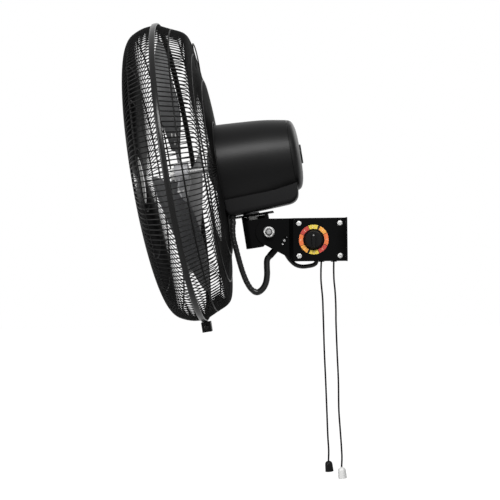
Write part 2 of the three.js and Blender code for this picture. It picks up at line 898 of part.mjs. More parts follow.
const BEARING_OUTER = 17;
const SEAT = BEARING_OUTER + GAP;
add(
  "rear_cap",
  turned(
    [
      [104, 0],
      [104, SEAT],
      [66, SEAT],
      [66, SEAT + 4],
      [103, SEAT + 4],
      [SHELL_REAR - 4, 59.5],
      [SHELL_REAR - 4, 62],
      [SHELL_REAR + GAP, 62],
      [SHELL_REAR + GAP, 65.4],
      [97, 62.6],
      [101.5, 58.6],
      [105, 52.5],
      [108, 44],
      [108.5, 0],
    ],
    22,
  ),
  blackShell,
  headFrame,
);
add(
  "rear_plug",
  turned([[108.5 + GAP, 0], [108.5 + GAP, 18], [110, 18], [111, 16.5], [111, 0]], 16),
  blackPlastic,
  headFrame,
);

// The end bell closes the shell in front, carries the front bearing and clamps the rear guard.
const BELL_FLANGE = -46.6;
const BELL_SPIGOT = 74.2;
add(
  "front_end_bell",
  turned(
    [
      [-66, SEAT],
      [-48, SEAT],
      [-48, SEAT + 4],
      [-60, SEAT + 5],
      [BELL_FLANGE + 3, 54],
      [-36, 71.5],
      [-36, BELL_SPIGOT],
      [BELL_FLANGE, BELL_SPIGOT],
      [BELL_FLANGE, 59.5],
      [-60, 40],
      [-66, SEAT + 5],
      [-66, SEAT],
    ],
    20,
  ),
  blackShell,
  headFrame,
);

const bearing = (from) => collar(from, from + 10, SHAFT_RADIUS + GAP, BEARING_OUTER, 12);
add("bearing_front", bearing(-59), bareSteel, headFrame);
add("bearing_rear", bearing(67), bareSteel, headFrame);
add("stator", collar(-26, 34, 44.5, 69.4, 16), copper, headFrame);

// The tray under the shell covers the swing gear. Its outline is in the neck's frame.
const GLAND_STEM = 5;

function gearCover() {
  const side = [
    [-42.6, 46],
    [-42.6, 12],
    [-40, 5.5],
    [-35.5, 2.6],
    [-19, 3.4],
    [74, 8.1],
    [84, 11],
    [90, 17],
    [94, 27],
    [94.6, 38],
    [93, 60],
  ];
  const wall = 2.6;
  const inside = [
    [-40, 50],
    [-40, 13],
    [-38, 8],
    [-33.5, 2.6 + wall],
    [-19, 3.4 + wall],
    [73, 8.1 + wall],
    [82, 14],
    [88, 20],
    [91, 28],
    [91, 64],
  ];
  const halfWidth = 50;
  const roundEdge = 7;
  const body = (points, half, edge) => {
    const geometry = new THREE.ExtrudeGeometry(outline(points), {
      depth: 2 * (half - edge),
      bevelThickness: edge,
      bevelSize: edge,
      bevelOffset: -edge,
      bevelSegments: 2,
    });
    geometry.rotateX(Math.PI / 2).translate(0, half - edge, 0);
    return reshaped(geometry, (point) => {
      point.y *= 1 - 0.13 * Math.max(0, (point.x + 10) / 105);
    });
  };
  const outer = body(side, halfWidth, roundEdge);
  const hollow = body(inside, halfWidth - wall, roundEdge - wall);
  const stemHole = turnedZ(cylinder(-5, 30, BUSH_STEM + GAP));
  const glandHole = turnedZ(cylinder(-5, 14, GLAND_STEM + GAP), 16).translate(GLAND_X, GLAND_Y, 0);
  // the shell's outside, a little larger, trims the tray's top edge
  const barrel = turned(
    [
      [SHELL_FRONT - 20, 0],
      [SHELL_FRONT - 20, 79 + GAP],
      ...SHELL_OUTLINE.map(([x, r]) => [x, r + GAP]),
      [97, 62.6 + GAP],
      [102, 58.6 + GAP],
      [110, 58],
      [110, 0],
    ],
    56,
  ).translate(0, 0, HEAD_HEIGHT);
  return cut(outer, hollow, stemHole, glandHole, barrel);
}

add("gear_case_cover", gearCover(), blackPlastic, neckFrame);

add(
  "cable_gland",
  turnedZ(
    [
      [-3, 0],
      [-3, 6.5],
      [2, 7],
      [2, GLAND_STEM],
      [9, GLAND_STEM],
      [9, 0],
    ],
    12,
  ).translate(GLAND_X, GLAND_Y, 0),
  blackPlastic,
  neckFrame,
);

// Swing gear: a gearbox inside the tray turns a crank on its underside.
const GEARBOX_BOTTOM = 14;
const GEARBOX_FOOT = 10.7; // stands on the tray's floor
const crank = turnedZ(cylinder(GEARBOX_BOTTOM - 3, GEARBOX_BOTTOM + 1, 12));
add(
  "swing_gearbox",
  joined(
    block(22, 66, -19, 19, GEARBOX_BOTTOM, 21),
    block(55, 66, -19, 19, GEARBOX_FOOT, GEARBOX_BOTTOM + 1),
    crank.translate(40, 0, 0),
  ),
  castAluminium,
  neckFrame,
);

// ---------------------------------------------------------------- cage

// Guard wires follow these outlines: [share of the guard's depth, share of its radius], from the
// end hoop to the middle. The hoops that tie the wires stand at the listed corners.
const FRONT_OUTLINE = [
  [0.3, 0.983],
  [0.62, 0.93],
  [0.82, 0.8],
  [0.96, 0.5],
];
const REAR_OUTLINE = [
  [0.38, 0.958],
  [0.72, 0.9],
  [0.81, 0.7],
  [0.95, 0.59],
];
const MOUNT_PLATE_RADIUS = 91;

function guardOutline(depth, shares, innerRadius) {
  const side = Math.sign(depth);
  return [
    [side * END_HOOP_X, GUARD_RADIUS],
    ...shares.map(([along, out]) => [along * depth, out * GUARD_RADIUS]),
    [depth, innerRadius],
  ];
}

const FRONT_GUARD = guardOutline(-FRONT_GUARD_DEPTH, FRONT_OUTLINE, DISC_RADIUS - 2);
const FRONT_HOOPS = [0, 3, 5];
const REAR_GUARD = guardOutline(REAR_GUARD_DEPTH, REAR_OUTLINE, MOUNT_PLATE_RADIUS - 6);
const REAR_HOOPS = [0, 3, 5];

// A wire bent to a guard outline, as a flat strip with a square section, in the plane of X and Z.
function guardWire(profile) {
  const points = profile.map(([x, r]) => new THREE.Vector2(x, r));
  const offset = (i, side) => {
    const before = points[Math.max(0, i - 1)];
    const after = points[Math.min(points.length - 1, i + 1)];
    const along = after.clone().sub(before).normalize();
    return [points[i].x - side * along.y, points[i].y + side * along.x];
  };
  const edge = (side) => points.map((_, i) => offset(i, side));
  const strip = [...edge(WIRE_RADIUS), ...edge(-WIRE_RADIUS).reverse()];
  return sideways(strip, [], -WIRE_RADIUS, WIRE_RADIUS);
}

// A four-sided hoop about X.
function hoop([x, r]) {
  return collar(x - HOOP_RADIUS, x + HOOP_RADIUS, r - HOOP_RADIUS, r + HOOP_RADIUS, WIRE_COUNT);
}

function guard(profile, hoops) {
  const wires = [];
  for (let i = 0; i < WIRE_COUNT; i++) {
    wires.push(guardWire(profile).rotateX((2 * Math.PI * (i + 0.5)) / WIRE_COUNT));
  }
  return joined(...wires, ...hoops.map((i) => hoop(profile[i])));
}

add("front_guard", guard(FRONT_GUARD, FRONT_HOOPS), blackWire, ringFrame);
add("rear_guard", guard(REAR_GUARD, REAR_HOOPS), blackWire, ringFrame);

add(
  "guard_mount_plate",
  collar(
    BELL_FLANGE + RING_FORWARD - GAP - 2.3,
    BELL_FLANGE + RING_FORWARD - GAP,
    60.5,
    MOUNT_PLATE_RADIUS,
    20,
  ),
  blackSteel,
  ringFrame,
);

const DISC_BACK = -FRONT_GUARD_DEPTH - HOOP_RADIUS - GAP;
add(
  "guard_centre_disc",
  turned(
    [
      [DISC_BACK, 0],
      [DISC_BACK, DISC_RADIUS],
      [DISC_BACK - 1.2, DISC_RADIUS],
      [DISC_BACK - 3, DISC_RADIUS - 4],
      [DISC_BACK - 3.6, 0],
    ],
    24,
  ),
  greyPlastic,
  ringFrame,
);

add(
  "clamp_ring",
  turned(
    [
      [-RING_HALF_WIDTH, RING_INNER],
      [RING_HALF_WIDTH, RING_INNER],
      [RING_HALF_WIDTH, RING_RADIUS - 1],
      [0, RING_RADIUS],
      [-RING_HALF_WIDTH, RING_RADIUS - 1],
      [-RING_HALF_WIDTH, RING_INNER],
    ],
    2 * WIRE_COUNT,
  ),
  blackShell,
  ringFrame,
);

// The band's ends meet in a block at the bottom, drawn together by a cross screw.
const BLOCK_TOP = -RING_RADIUS - GAP;
const BLOCK_BOTTOM = BLOCK_TOP - 19.2;
const CLAMP_SCREW_Z = BLOCK_TOP - 9.7;
const CLAMP_SCREW_RADIUS = 2.5;
add(
  "clamp_block",
  cut(
    block(-8, 10, -10, 10, BLOCK_BOTTOM, BLOCK_TOP),
    turnedY(cylinder(-20, 20, CLAMP_SCREW_RADIUS + GAP), 16).translate(1, 0, CLAMP_SCREW_Z),
  ),
  blackPlastic,
  ringFrame,
);
add(
  "clamp_screw",
  panScrew(4.6, 3, CLAMP_SCREW_RADIUS, 24).translate(1, -10 - GAP, CLAMP_SCREW_Z),
  zinc,
  ringFrame,
);

// A wire loop on the upper back of the rear guard, seated on its middle hoop:
// [distance in front of its seat, half width, share of the guard's radius].
const LOOP_RADIUS = 1.25;
const LOOP_SEAT = REAR_GUARD[REAR_HOOPS[1]][0] + HOOP_RADIUS + GAP + LOOP_RADIUS;
const loopSide = [
  [0, 40, 0.658],
  [0, 40.5, 0.734],
  [0.7, 36, 0.806],
  [1.1, 22, 0.84],
].map(([forward, y, share]) => [LOOP_SEAT - forward, y, share * GUARD_RADIUS]);
const loopTop = [LOOP_SEAT - 1.3, 0, 0.849 * GUARD_RADIUS];
const farLoopSide = loopSide.map(([x, y, z]) => [x, -y, z]).reverse();
add(
  "hanging_loop",
  tube([...loopSide, loopTop, ...farLoopSide], LOOP_RADIUS, 6, 14),
  blackWire,
  ringFrame,
);

// ---------------------------------------------------------------- rotor

// Slope of the blade's chord against the plane of rotation, less towards the tip.
function bladeSlope(r) {
  const t = Math.min(1, Math.max(0, (r - 45) / 175));
  return 0.45 + (0.19 - 0.45) * t;
}

// Half of the angle that the blade fills at a radius, in radians.
function bladeHalfAngle(r) {
  const t = Math.min(1, Math.max(0, (r - BLADE_ROOT) / 110));
  return (25 + 11 * t * t * (3 - 2 * t)) * DEGREE;
}

const bladeHeight = (r, angle) => BLADE_MIDDLE_X + bladeSlope(r) * r * angle;

// Turns a point given as x, angle and radius into the place it has on a blade in direction phi.
function ontoBlade(point, x, angle, r, phi) {
  const turn = phi * DEGREE + angle;
  point.set(x, r * Math.cos(turn), r * Math.sin(turn));
}

function blade(phi) {
  const sheet = new THREE.BoxGeometry(BLADE_THICK, 2, 1, 1, 6, 5);
  return reshaped(sheet, (point) => {
    const across = point.y;
    const tip = BLADE_TIP - 24 * Math.abs(across) ** 5;
    const r = BLADE_ROOT + (tip - BLADE_ROOT) * (point.z + 0.5);
    const angle = across * bladeHalfAngle(r);
    const camber = 5 * (1 - across * across) * Math.min(1, r / 200);
    ontoBlade(point, bladeHeight(r, angle) + camber + point.x, angle, r, phi);
  });
}

const ARM_HALF_WIDTH = 14; // where it carries the blade, less at the hub
const ARM_HALF_WIDTH_AT_HUB = 6;
const ARM_FULL_WIDTH_FROM = 62;
const ARM_END = 80;
const ARM_THICK = 3;

// An arm lies behind its blade and follows its twist.
function spiderArm(phi) {
  const bar = new THREE.BoxGeometry(ARM_THICK, 2, 1, 1, 2, 4);
  const start = HUB_RADIUS - 4;
  return reshaped(bar, (point) => {
    const r = start + (ARM_END - start) * (point.z + 0.5);
    const share = Math.min(1, (r - start) / (ARM_FULL_WIDTH_FROM - start));
    const half = ARM_HALF_WIDTH_AT_HUB + (ARM_HALF_WIDTH - ARM_HALF_WIDTH_AT_HUB) * share;
    const angle = (point.y * half) / r;
    const across = angle / bladeHalfAngle(r);
    const camber = 5 * (1 - Math.min(1, across * across)) * Math.min(1, r / 200);
    const behind = BLADE_THICK / 2 + 2 * GAP + ARM_THICK / 2;
    ontoBlade(point, bladeHeight(r, angle) + camber + behind + point.x, angle, r, phi);
  });
}

const HUB_FRONT = -12;
const HUB_REAR = 14;
const hub = collar(HUB_FRONT, HUB_REAR, SHAFT_RADIUS + GAP, HUB_RADIUS, 16);
add("blade_spider", joined(hub, ...BLADE_ANGLES.map(spiderArm)), castAluminium, ringFrame);
BLADE_ANGLES.forEach((phi, i) => {
  add("blade_" + (i + 1), blade(phi), darkMetal, ringFrame);
});
add(
  "motor_shaft",
  turned(cylinder(HUB_FRONT - 8, RING_FORWARD + 78, SHAFT_RADIUS), 16),
  bareSteel,
  ringFrame,
);
add("rotor_core", collar(-28, 36, SHAFT_RADIUS + GAP, 43, 16), bareSteel, headFrame);
add(
  "hub_nut",
  facing(
    hexagon(0, 0, 22),
    [circle(0, 0, SHAFT_RADIUS + GAP, 16)],
    HUB_FRONT - GAP - 9,
    HUB_FRONT - GAP,
  ),
  zinc,
  ringFrame,
);

export default fan;
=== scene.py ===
"""Looks of a wall mounted fan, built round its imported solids. Sizes in the tables are millimetres."""

import json
import math

import bmesh
import bpy
import numpy as np
from mathutils import Matrix, Vector


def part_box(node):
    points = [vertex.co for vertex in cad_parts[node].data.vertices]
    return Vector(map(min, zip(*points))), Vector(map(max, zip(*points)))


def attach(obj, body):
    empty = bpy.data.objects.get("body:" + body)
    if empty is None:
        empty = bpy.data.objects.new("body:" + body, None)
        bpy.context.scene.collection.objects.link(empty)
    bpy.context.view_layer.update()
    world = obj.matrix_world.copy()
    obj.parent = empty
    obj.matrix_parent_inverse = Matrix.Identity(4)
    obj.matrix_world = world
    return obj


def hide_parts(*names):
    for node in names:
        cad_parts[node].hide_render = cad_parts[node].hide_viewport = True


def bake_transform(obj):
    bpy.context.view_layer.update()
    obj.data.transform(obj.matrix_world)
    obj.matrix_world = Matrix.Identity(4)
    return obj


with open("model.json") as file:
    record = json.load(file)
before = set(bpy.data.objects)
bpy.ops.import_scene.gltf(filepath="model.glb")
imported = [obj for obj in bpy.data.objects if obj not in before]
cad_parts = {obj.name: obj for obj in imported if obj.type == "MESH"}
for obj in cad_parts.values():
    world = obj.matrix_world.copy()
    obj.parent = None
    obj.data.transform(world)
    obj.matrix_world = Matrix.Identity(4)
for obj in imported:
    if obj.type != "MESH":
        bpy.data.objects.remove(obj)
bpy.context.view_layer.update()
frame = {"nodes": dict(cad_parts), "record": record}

MM = 0.001
TAU = 2 * math.pi


def mm(x, y, z):
    """A point given in millimetres, as Blender's metres."""
    return Vector((x * MM, y * MM, z * MM))


# Frames that pieces are made in. The head leans down in front, so the X of its frames runs up
# towards the wall, along the motor's axis in HEAD and in RING, whose origin is in the clamp band.
LEAN_DEGREES = 8.5
SWIVEL_AT = mm(-178, 0, 48.4)
MOTOR_HEIGHT = 97.5
BAND_REACH = 117
AS_MADE = Matrix.Identity(4)
NECK = Matrix.Translation(SWIVEL_AT) @ Matrix.Rotation(-math.radians(LEAN_DEGREES), 4, "Y")
HEAD = NECK @ Matrix.Translation(mm(0, 0, MOTOR_HEIGHT))
RING = HEAD @ Matrix.Translation(mm(-BAND_REACH, 0, 0))

# ---------------------------------------------------------------- camera

CAMERA_DISTANCE = 2.4
CAMERA_AIM = mm(-181.2, 0, -18)
CAMERA_AZIMUTH = 3.0  # degrees towards the wall side
CAMERA_ELEVATION = 0.0
CAMERA_ROLL = -0.62
CAMERA_LENS = 92.0

cam_data = bpy.data.cameras.new("camera")
cam_data.lens = CAMERA_LENS
cam_data.sensor_width = 36
cam_data.clip_start = 0.05
cam_data.clip_end = 50
camera = bpy.data.objects.new("camera", cam_data)
bpy.context.scene.collection.objects.link(camera)
azimuth, elevation = math.radians(CAMERA_AZIMUTH), math.radians(CAMERA_ELEVATION)
back = Vector(
    (
        math.sin(azimuth) * math.cos(elevation),
        -math.cos(azimuth) * math.cos(elevation),
        math.sin(elevation),
    )
)
camera.location = CAMERA_AIM + back * CAMERA_DISTANCE
camera.rotation_mode = "QUATERNION"
camera.rotation_quaternion = (-back).to_track_quat("-Z", "Y") @ Matrix.Rotation(
    math.radians(CAMERA_ROLL), 4, "Z"
).to_quaternion()
bpy.context.scene.camera = camera

# ---------------------------------------------------------------- materials

NOISE_LOW, NOISE_HIGH = 0.3, 0.7  # the part of a noise's range that is used
CLOUD_SCALE = 14  # blotches in the gloss, per metre
RELIEF_STRENGTH = 0.35


def surface(
    name,
    color,
    roughness,
    metallic=0.0,
    speckle=0.15,
    scale=900.0,
    bump=0.02,
    stretch=(1, 1, 1),
    spread=0.06,
    specular=0.5,
):
    """A finish whose colour, roughness and relief all vary a little.

    speckle is the share by which the colour varies, scale its grain per metre, bump the depth of
    the grain in mm, and spread how far the roughness wanders each way.
    """
    material = bpy.data.materials.new(name)
    material.use_nodes = True
    nodes, links = material.node_tree.nodes, material.node_tree.links
    shader = nodes["Principled BSDF"]
    place = nodes.new("ShaderNodeTexCoord")
    mapping = nodes.new("ShaderNodeMapping")
    mapping.inputs["Scale"].default_value = stretch
    noise = nodes.new("ShaderNodeTexNoise")
    noise.inputs["Scale"].default_value = scale
    noise.inputs["Detail"].default_value = 4
    cloud = nodes.new("ShaderNodeTexNoise")
    cloud.inputs["Scale"].default_value = CLOUD_SCALE
    cloud.inputs["Detail"].default_value = 3
    tint = nodes.new("ShaderNodeValToRGB")
    tint.color_ramp.elements[0].position = NOISE_LOW
    tint.color_ramp.elements[1].position = NOISE_HIGH
    dark = [c * (1 - speckle) for c in color]
    light = [min(1, c * (1 + speckle)) for c in color]
    tint.color_ramp.elements[0].color = (*dark, 1)
    tint.color_ramp.elements[1].color = (*light, 1)
    rough = nodes.new("ShaderNodeMapRange")
    rough.inputs["From Min"].default_value = NOISE_LOW
    rough.inputs["From Max"].default_value = NOISE_HIGH
    rough.inputs["To Min"].default_value = max(0.02, roughness - spread)
    rough.inputs["To Max"].default_value = min(1, roughness + spread)
    relief = nodes.new("ShaderNodeBump")
    relief.inputs["Strength"].default_value = RELIEF_STRENGTH
    relief.inputs["Distance"].default_value = bump * MM
    links.new(place.outputs["Object"], mapping.inputs["Vector"])
    links.new(mapping.outputs["Vector"], noise.inputs["Vector"])
    links.new(mapping.outputs["Vector"], cloud.inputs["Vector"])
    links.new(noise.outputs["Fac"], tint.inputs["Fac"])
    links.new(tint.outputs["Color"], shader.inputs["Base Color"])
    links.new(cloud.outputs["Fac"], rough.inputs["Value"])
    links.new(rough.outputs["Result"], shader.inputs["Roughness"])
    links.new(noise.outputs["Fac"], relief.inputs["Height"])
    links.new(relief.outputs["Normal"], shader.inputs["Normal"])
    shader.inputs["Metallic"].default_value = metallic
    shader.inputs["Specular IOR Level"].default_value = specular
    return material


BLACK_STEEL = surface("black_steel", (0.0016, 0.0016, 0.0017), 0.4, bump=0.03, specular=0.03)
GLOSS_SHELL = surface(
    "gloss_shell", (0.0012, 0.0012, 0.0013), 0.4, bump=0.012, spread=0.02, specular=0.13
)
RING_BLACK = surface(
    "ring_black", (0.004, 0.004, 0.004), 0.24, bump=0.01, spread=0.03, specular=0.16
)
BLACK_PLASTIC = surface(
    "black_plastic", (0.0035, 0.0035, 0.0036), 0.4, bump=0.05, scale=1400, specular=0.08
)
TRAY_PLASTIC = surface(
    "tray_plastic", (0.005, 0.005, 0.0052), 0.5, bump=0.05, scale=1400, specular=0.08
)
BLACK_WIRE = surface("black_wire", (0.0032, 0.0032, 0.0032), 0.45, bump=0.02, specular=0.08)
GREY_PLASTIC = surface("grey_plastic", (0.3, 0.3, 0.29), 0.45, speckle=0.03, bump=0.02)
WHITE_PLASTIC = surface("white_plastic", (0.47, 0.47, 0.465), 0.45, speckle=0.02, bump=0.02)
ZINC = surface("zinc", (0.5, 0.5, 0.49), 0.5, metallic=0.25, speckle=0.06, bump=0.03, scale=600)
BARE_STEEL = surface(
    "bare_steel", (0.2, 0.2, 0.2), 0.4, metallic=0.8, speckle=0.1, stretch=(0.1, 1, 1)
)
COPPER = surface("copper_winding", (0.45, 0.18, 0.08), 0.4, metallic=1, stretch=(8, 0.2, 0.2))
CAST_ALUMINIUM = surface("cast_aluminium", (0.26, 0.26, 0.27), 0.5, metallic=0.3, bump=0.08)
DARK_BLADE = surface(
    "dark_blade", (0.05, 0.051, 0.053), 0.45, speckle=0.1, bump=0.01, specular=0.2
)
CABLE_RUBBER = surface("cable_rubber", (0.005, 0.005, 0.005), 0.28, bump=0.03, specular=0.2)
CORD_BLACK = surface("cord_black", (0.003, 0.003, 0.003), 0.6, bump=0.03, specular=0.03)
SLEEVE_WRAP = surface(
    "sleeve_wrap", (0.008, 0.008, 0.008), 0.3, bump=0.03, scale=1800, specular=0.15
)
DIAL_BLACK = surface("dial_black", (0.006, 0.006, 0.006), 0.5, bump=0.01, specular=0.1)
DIAL_YELLOW = surface("dial_yellow", (0.52, 0.39, 0.035), 0.5, speckle=0.05, bump=0.01)
DIAL_AMBER = surface("dial_amber", (0.55, 0.24, 0.03), 0.5, speckle=0.05, bump=0.01)
DIAL_ORANGE = surface("dial_orange", (0.52, 0.11, 0.02), 0.5, speckle=0.05, bump=0.01)
DIAL_RED = surface("dial_red", (0.32, 0.02, 0.01), 0.5, speckle=0.05, bump=0.01)
DIAL_PALE = surface("dial_pale", (0.6, 0.45, 0.3), 0.5, speckle=0.03, bump=0.01)
WASHER_ZINC = surface("washer_zinc", (0.2, 0.2, 0.2), 0.45, metallic=0.4, speckle=0.08, scale=600)
COLLAR_GREY = surface("collar_grey", (0.03, 0.03, 0.03), 0.5, speckle=0.08)
POINTER_GREY = surface("pointer_grey", (0.16, 0.16, 0.16), 0.5, speckle=0.05, bump=0.01)

SLOT_MATERIALS = {
    "black_steel": BLACK_STEEL,
    "gloss_shell": GLOSS_SHELL,
    "black_plastic": BLACK_PLASTIC,
    "black_wire": BLACK_WIRE,
    "grey_plastic": GREY_PLASTIC,
    "white_plastic": WHITE_PLASTIC,
    "zinc": ZINC,
    "bare_steel": BARE_STEEL,
    "copper_winding": COPPER,
    "cast_aluminium": CAST_ALUMINIUM,
    "dark_blade": DARK_BLADE,
    "dial_print": DIAL_AMBER,
    "cable_rubber": CABLE_RUBBER,
}
node_slot = {s["node"]: s["material_slot"] for s in frame["record"]["subparts"]}
node_body = {
    node: body
    for body, nodes in frame["record"]["behaviour"]["bodies"].items()
    for node in nodes
}
for node, obj in frame["nodes"].items():
    obj.data.materials.clear()
    obj.data.materials.append(SLOT_MATERIALS[node_slot[node]])

# ---------------------------------------------------------------- mesh helpers


SHARP_ANGLE = 35  # degrees from which an edge shows as an edge
FLAT_ANGLE = 0.5  # degrees up to which faces are one flat face
WELD_DISTANCE = 1e-6  # metres


def add_mesh(name, mesh):
    """A mesh as an object in the scene."""
    obj = bpy.data.objects.new(name, mesh)
    bpy.context.scene.collection.objects.link(obj)
    return obj


def solid(
    name,
    shape,
    material,
    body=None,
    replaces=(),
    place=AS_MADE,
    sharp=SHARP_ANGLE,
    mend=True,
):
    """An object from (vertices in mm, faces), put in place by a frame, riding on a body.

    mend turns all faces outwards, which takes long on a guard and is not needed there.
    """
    vertices, faces = shape
    mesh = bpy.data.meshes.new(name)
    mesh.from_pydata([place @ mm(*v) for v in vertices], [], faces)
    work = bmesh.new()
    work.from_mesh(mesh)
    if mend:
        bmesh.ops.recalc_face_normals(work, faces=work.faces)
    work.to_mesh(mesh)
    work.free()
    mesh.shade_smooth()
    mesh.set_sharp_from_angle(angle=math.radians(sharp))
    mesh.materials.append(material)
    return register(add_mesh(name, mesh), body, replaces)


def register(obj, body=None, replaces=()):
    """Hides the nodes that a piece stands for and hangs it on the body that carries it."""
    if replaces:
        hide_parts(*replaces)
    if body:
        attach(obj, body)
    return obj


def settle(obj):
    """Turns an object's modifiers into its mesh."""
    graph = bpy.context.evaluated_depsgraph_get()
    mesh = bpy.data.meshes.new_from_object(obj.evaluated_get(graph))
    obj.modifiers.clear()
    obj.data = mesh
    return obj


def bevelled(obj, width, segments=2, angle=40):
    """Rounds an object's edges and keeps the shading of its flat faces flat."""
    modifier = obj.modifiers.new("edges", "BEVEL")
    modifier.width = width * MM
    modifier.segments = segments
    modifier.limit_method = "ANGLE"
    modifier.angle_limit = math.radians(angle)
    settle(obj)
    obj.data.shade_smooth()
    weighted = obj.modifiers.new("flat_faces", "WEIGHTED_NORMAL")
    weighted.weight = 90
    return settle(obj)


def refined(node, width, material=None):
    """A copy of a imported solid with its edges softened, shown in its place."""
    mesh = frame["nodes"][node].data.copy()
    work = bmesh.new()
    work.from_mesh(mesh)
    bmesh.ops.remove_doubles(work, verts=work.verts, dist=WELD_DISTANCE)
    bmesh.ops.dissolve_limit(
        work, angle_limit=math.radians(FLAT_ANGLE), verts=work.verts, edges=work.edges
    )
    work.to_mesh(mesh)
    work.free()
    obj = add_mesh(node + "_looks", mesh)
    bevelled(obj, width)
    obj.data.materials.clear()
    obj.data.materials.append(material or SLOT_MATERIALS[node_slot[node]])
    return register(obj, node_body[node], [node])


def turned(profile, sides=96, closed=False):
    """A profile of (along, radius) turned about X. A point at radius 0 becomes a pole."""
    vertices, faces, rows = [], [], []
    for along, radius in profile:
        if radius == 0:
            rows.append([len(vertices)])
            vertices.append((along, 0, 0))
            continue
        rows.append(list(range(len(vertices), len(vertices) + sides)))
        for i in range(sides):
            angle = TAU * i / sides
            vertices.append((along, radius * math.cos(angle), radius * math.sin(angle)))
    pairs = list(zip(rows, rows[1:])) + ([(rows[-1], rows[0])] if closed else [])
    for a, b in pairs:
        if len(a) == len(b) == 1:
            continue
        for i in range(sides):
            j = (i + 1) % sides
            quad = [a[i % len(a)], a[j % len(a)], b[j % len(b)], b[i % len(b)]]
            faces.append(list(dict.fromkeys(quad)))
    return vertices, faces


def about_y(shape):
    """Turns a shape made about X so that its axis is Y."""
    vertices, faces = shape
    return [(-y, x, z) for x, y, z in vertices], faces


def about_z(shape):
    """Turns a shape made about X so that its axis is Z."""
    vertices, faces = shape
    return [(-z, y, x) for x, y, z in vertices], faces


def moved(shape, x=0.0, y=0.0, z=0.0):
    """The same shape elsewhere."""
    vertices, faces = shape
    return [(a + x, b + y, c + z) for a, b, c in vertices], faces


def together(*shapes):
    """Several shapes as one."""
    vertices, faces = [], []
    for more, loops in shapes:
        start = len(vertices)
        vertices += more
        faces += [[start + i for i in loop] for loop in loops]
    return vertices, faces


def rounded(points, radius=1.0, steps=4):
    """An open (along, radius) outline with its inner corners rounded."""
    out = [points[0]]
    for before, here, after in zip(points, points[1:], points[2:]):
        p, a, b = (Vector(v) for v in (here, before, after))
        reach = min(radius, (a - p).length * 0.45, (b - p).length * 0.45)
        start, end = p + (a - p).normalized() * reach, p + (b - p).normalized() * reach
        for i in range(steps + 1):
            t = i / steps
            out.append(tuple(start * (1 - t) ** 2 + p * 2 * t * (1 - t) + end * t**2))
    out.append(points[-1])
    return out


def spline(points, per_span=8):
    """A smooth line through points, as a list of numpy vectors (Catmull-Rom, centripetal)."""
    pts = [np.array(p, float) for p in points]
    pts = [2 * pts[0] - pts[1], *pts, 2 * pts[-1] - pts[-2]]
    out = []
    for p0, p1, p2, p3 in zip(pts, pts[1:], pts[2:], pts[3:]):
        t = [0.0]
        for a, b in ((p0, p1), (p1, p2), (p2, p3)):
            t.append(t[-1] + max(1e-6, np.linalg.norm(b - a)) ** 0.5)
        for i in range(per_span):
            u = t[1] + (t[2] - t[1]) * i / per_span
            a1 = (t[1] - u) / (t[1] - t[0]) * p0 + (u - t[0]) / (t[1] - t[0]) * p1
            a2 = (t[2] - u) / (t[2] - t[1]) * p1 + (u - t[1]) / (t[2] - t[1]) * p2
            a3 = (t[3] - u) / (t[3] - t[2]) * p2 + (u - t[2]) / (t[3] - t[2]) * p3
            b1 = (t[2] - u) / (t[2] - t[0]) * a1 + (u - t[0]) / (t[2] - t[0]) * a2
            b2 = (t[3] - u) / (t[3] - t[1]) * a2 + (u - t[1]) / (t[3] - t[1]) * a3
            out.append((t[2] - u) / (t[2] - t[1]) * b1 + (u - t[1]) / (t[2] - t[1]) * b2)
    out.append(pts[-2])
    return out


def tube(path, radius, sides=12, closed=False):
    """A tube of round section along a path. radius is a number, or a rule of the step and the side."""
    path = [np.array(p, float) for p in path]
    count = len(path)
    rule = radius if callable(radius) else lambda i, k: radius
    vertices, faces, normal = [], [], None
    for i, p in enumerate(path):
        before = path[i - 1] if closed or i else p
        after = path[(i + 1) % count] if closed or i < count - 1 else p
        along = after - before
        along /= np.linalg.norm(along)
        if normal is None:
            guess = np.array([0.0, 1, 0]) if abs(along[1]) < 0.9 else np.array([1.0, 0, 0])
            normal = np.cross(along, guess)
        normal = normal - along * normal.dot(along)
        normal /= np.linalg.norm(normal)
        other = np.cross(along, normal)
        for k in range(sides):
            angle = TAU * k / sides
            v = p + rule(i, k) * (math.cos(angle) * normal + math.sin(angle) * other)
            vertices.append(tuple(v))
    for i in range(count if closed else count - 1):
        a, b = i * sides, ((i + 1) % count) * sides
        for k in range(sides):
            n = (k + 1) % sides
            faces.append([a + k, a + n, b + n, b + k])
    if not closed:
        faces.append(list(range(sides)))
        faces.append([(count - 1) * sides + k for k in range(sides)])
    return vertices, faces


def prism(points, low, high, axis="Y"):
    """An outline given depth along an axis. The outline is in X and Z, or in Y and Z for X."""
    put = {
        "Y": lambda a, b, d: (a, d, b),
        "X": lambda a, b, d: (d, a, b),
        "Z": lambda a, b, d: (a, b, d),
    }[axis]
    count = len(points)
    vertices = [put(a, b, low) for a, b in points] + [put(a, b, high) for a, b in points]
    faces = [list(range(count)), list(range(count, 2 * count))]
    faces += [[i, (i + 1) % count, count + (i + 1) % count, count + i] for i in range(count)]
    return vertices, faces


def regular(x, y, radius, sides):
    """The corners of a regular outline round a middle."""
    angles = [TAU * i / sides for i in range(sides)]
    return [(x + radius * math.cos(a), y + radius * math.sin(a)) for a in angles]


def sheet(front, rear, rows, columns):
    """A closed plate between two equal nets of points, laid out row by row."""
    wide = columns + 1
    faces = []
    for i in range(rows):
        for k in range(columns):
            a = i * wide + k
            faces.append([a, a + 1, a + wide + 1, a + wide])
            faces.append([len(front) + v for v in (a + wide, a + wide + 1, a + 1, a)])
    edge = list(range(wide))
    edge += [i * wide + columns for i in range(1, rows + 1)]
    edge += [rows * wide + k for k in range(columns - 1, -1, -1)]
    edge += [i * wide for i in range(rows - 1, 0, -1)]
    for a, b in zip(edge, edge[1:] + edge[:1]):
        faces.append([a, b, b + len(front), a + len(front)])
    return front + rear, faces


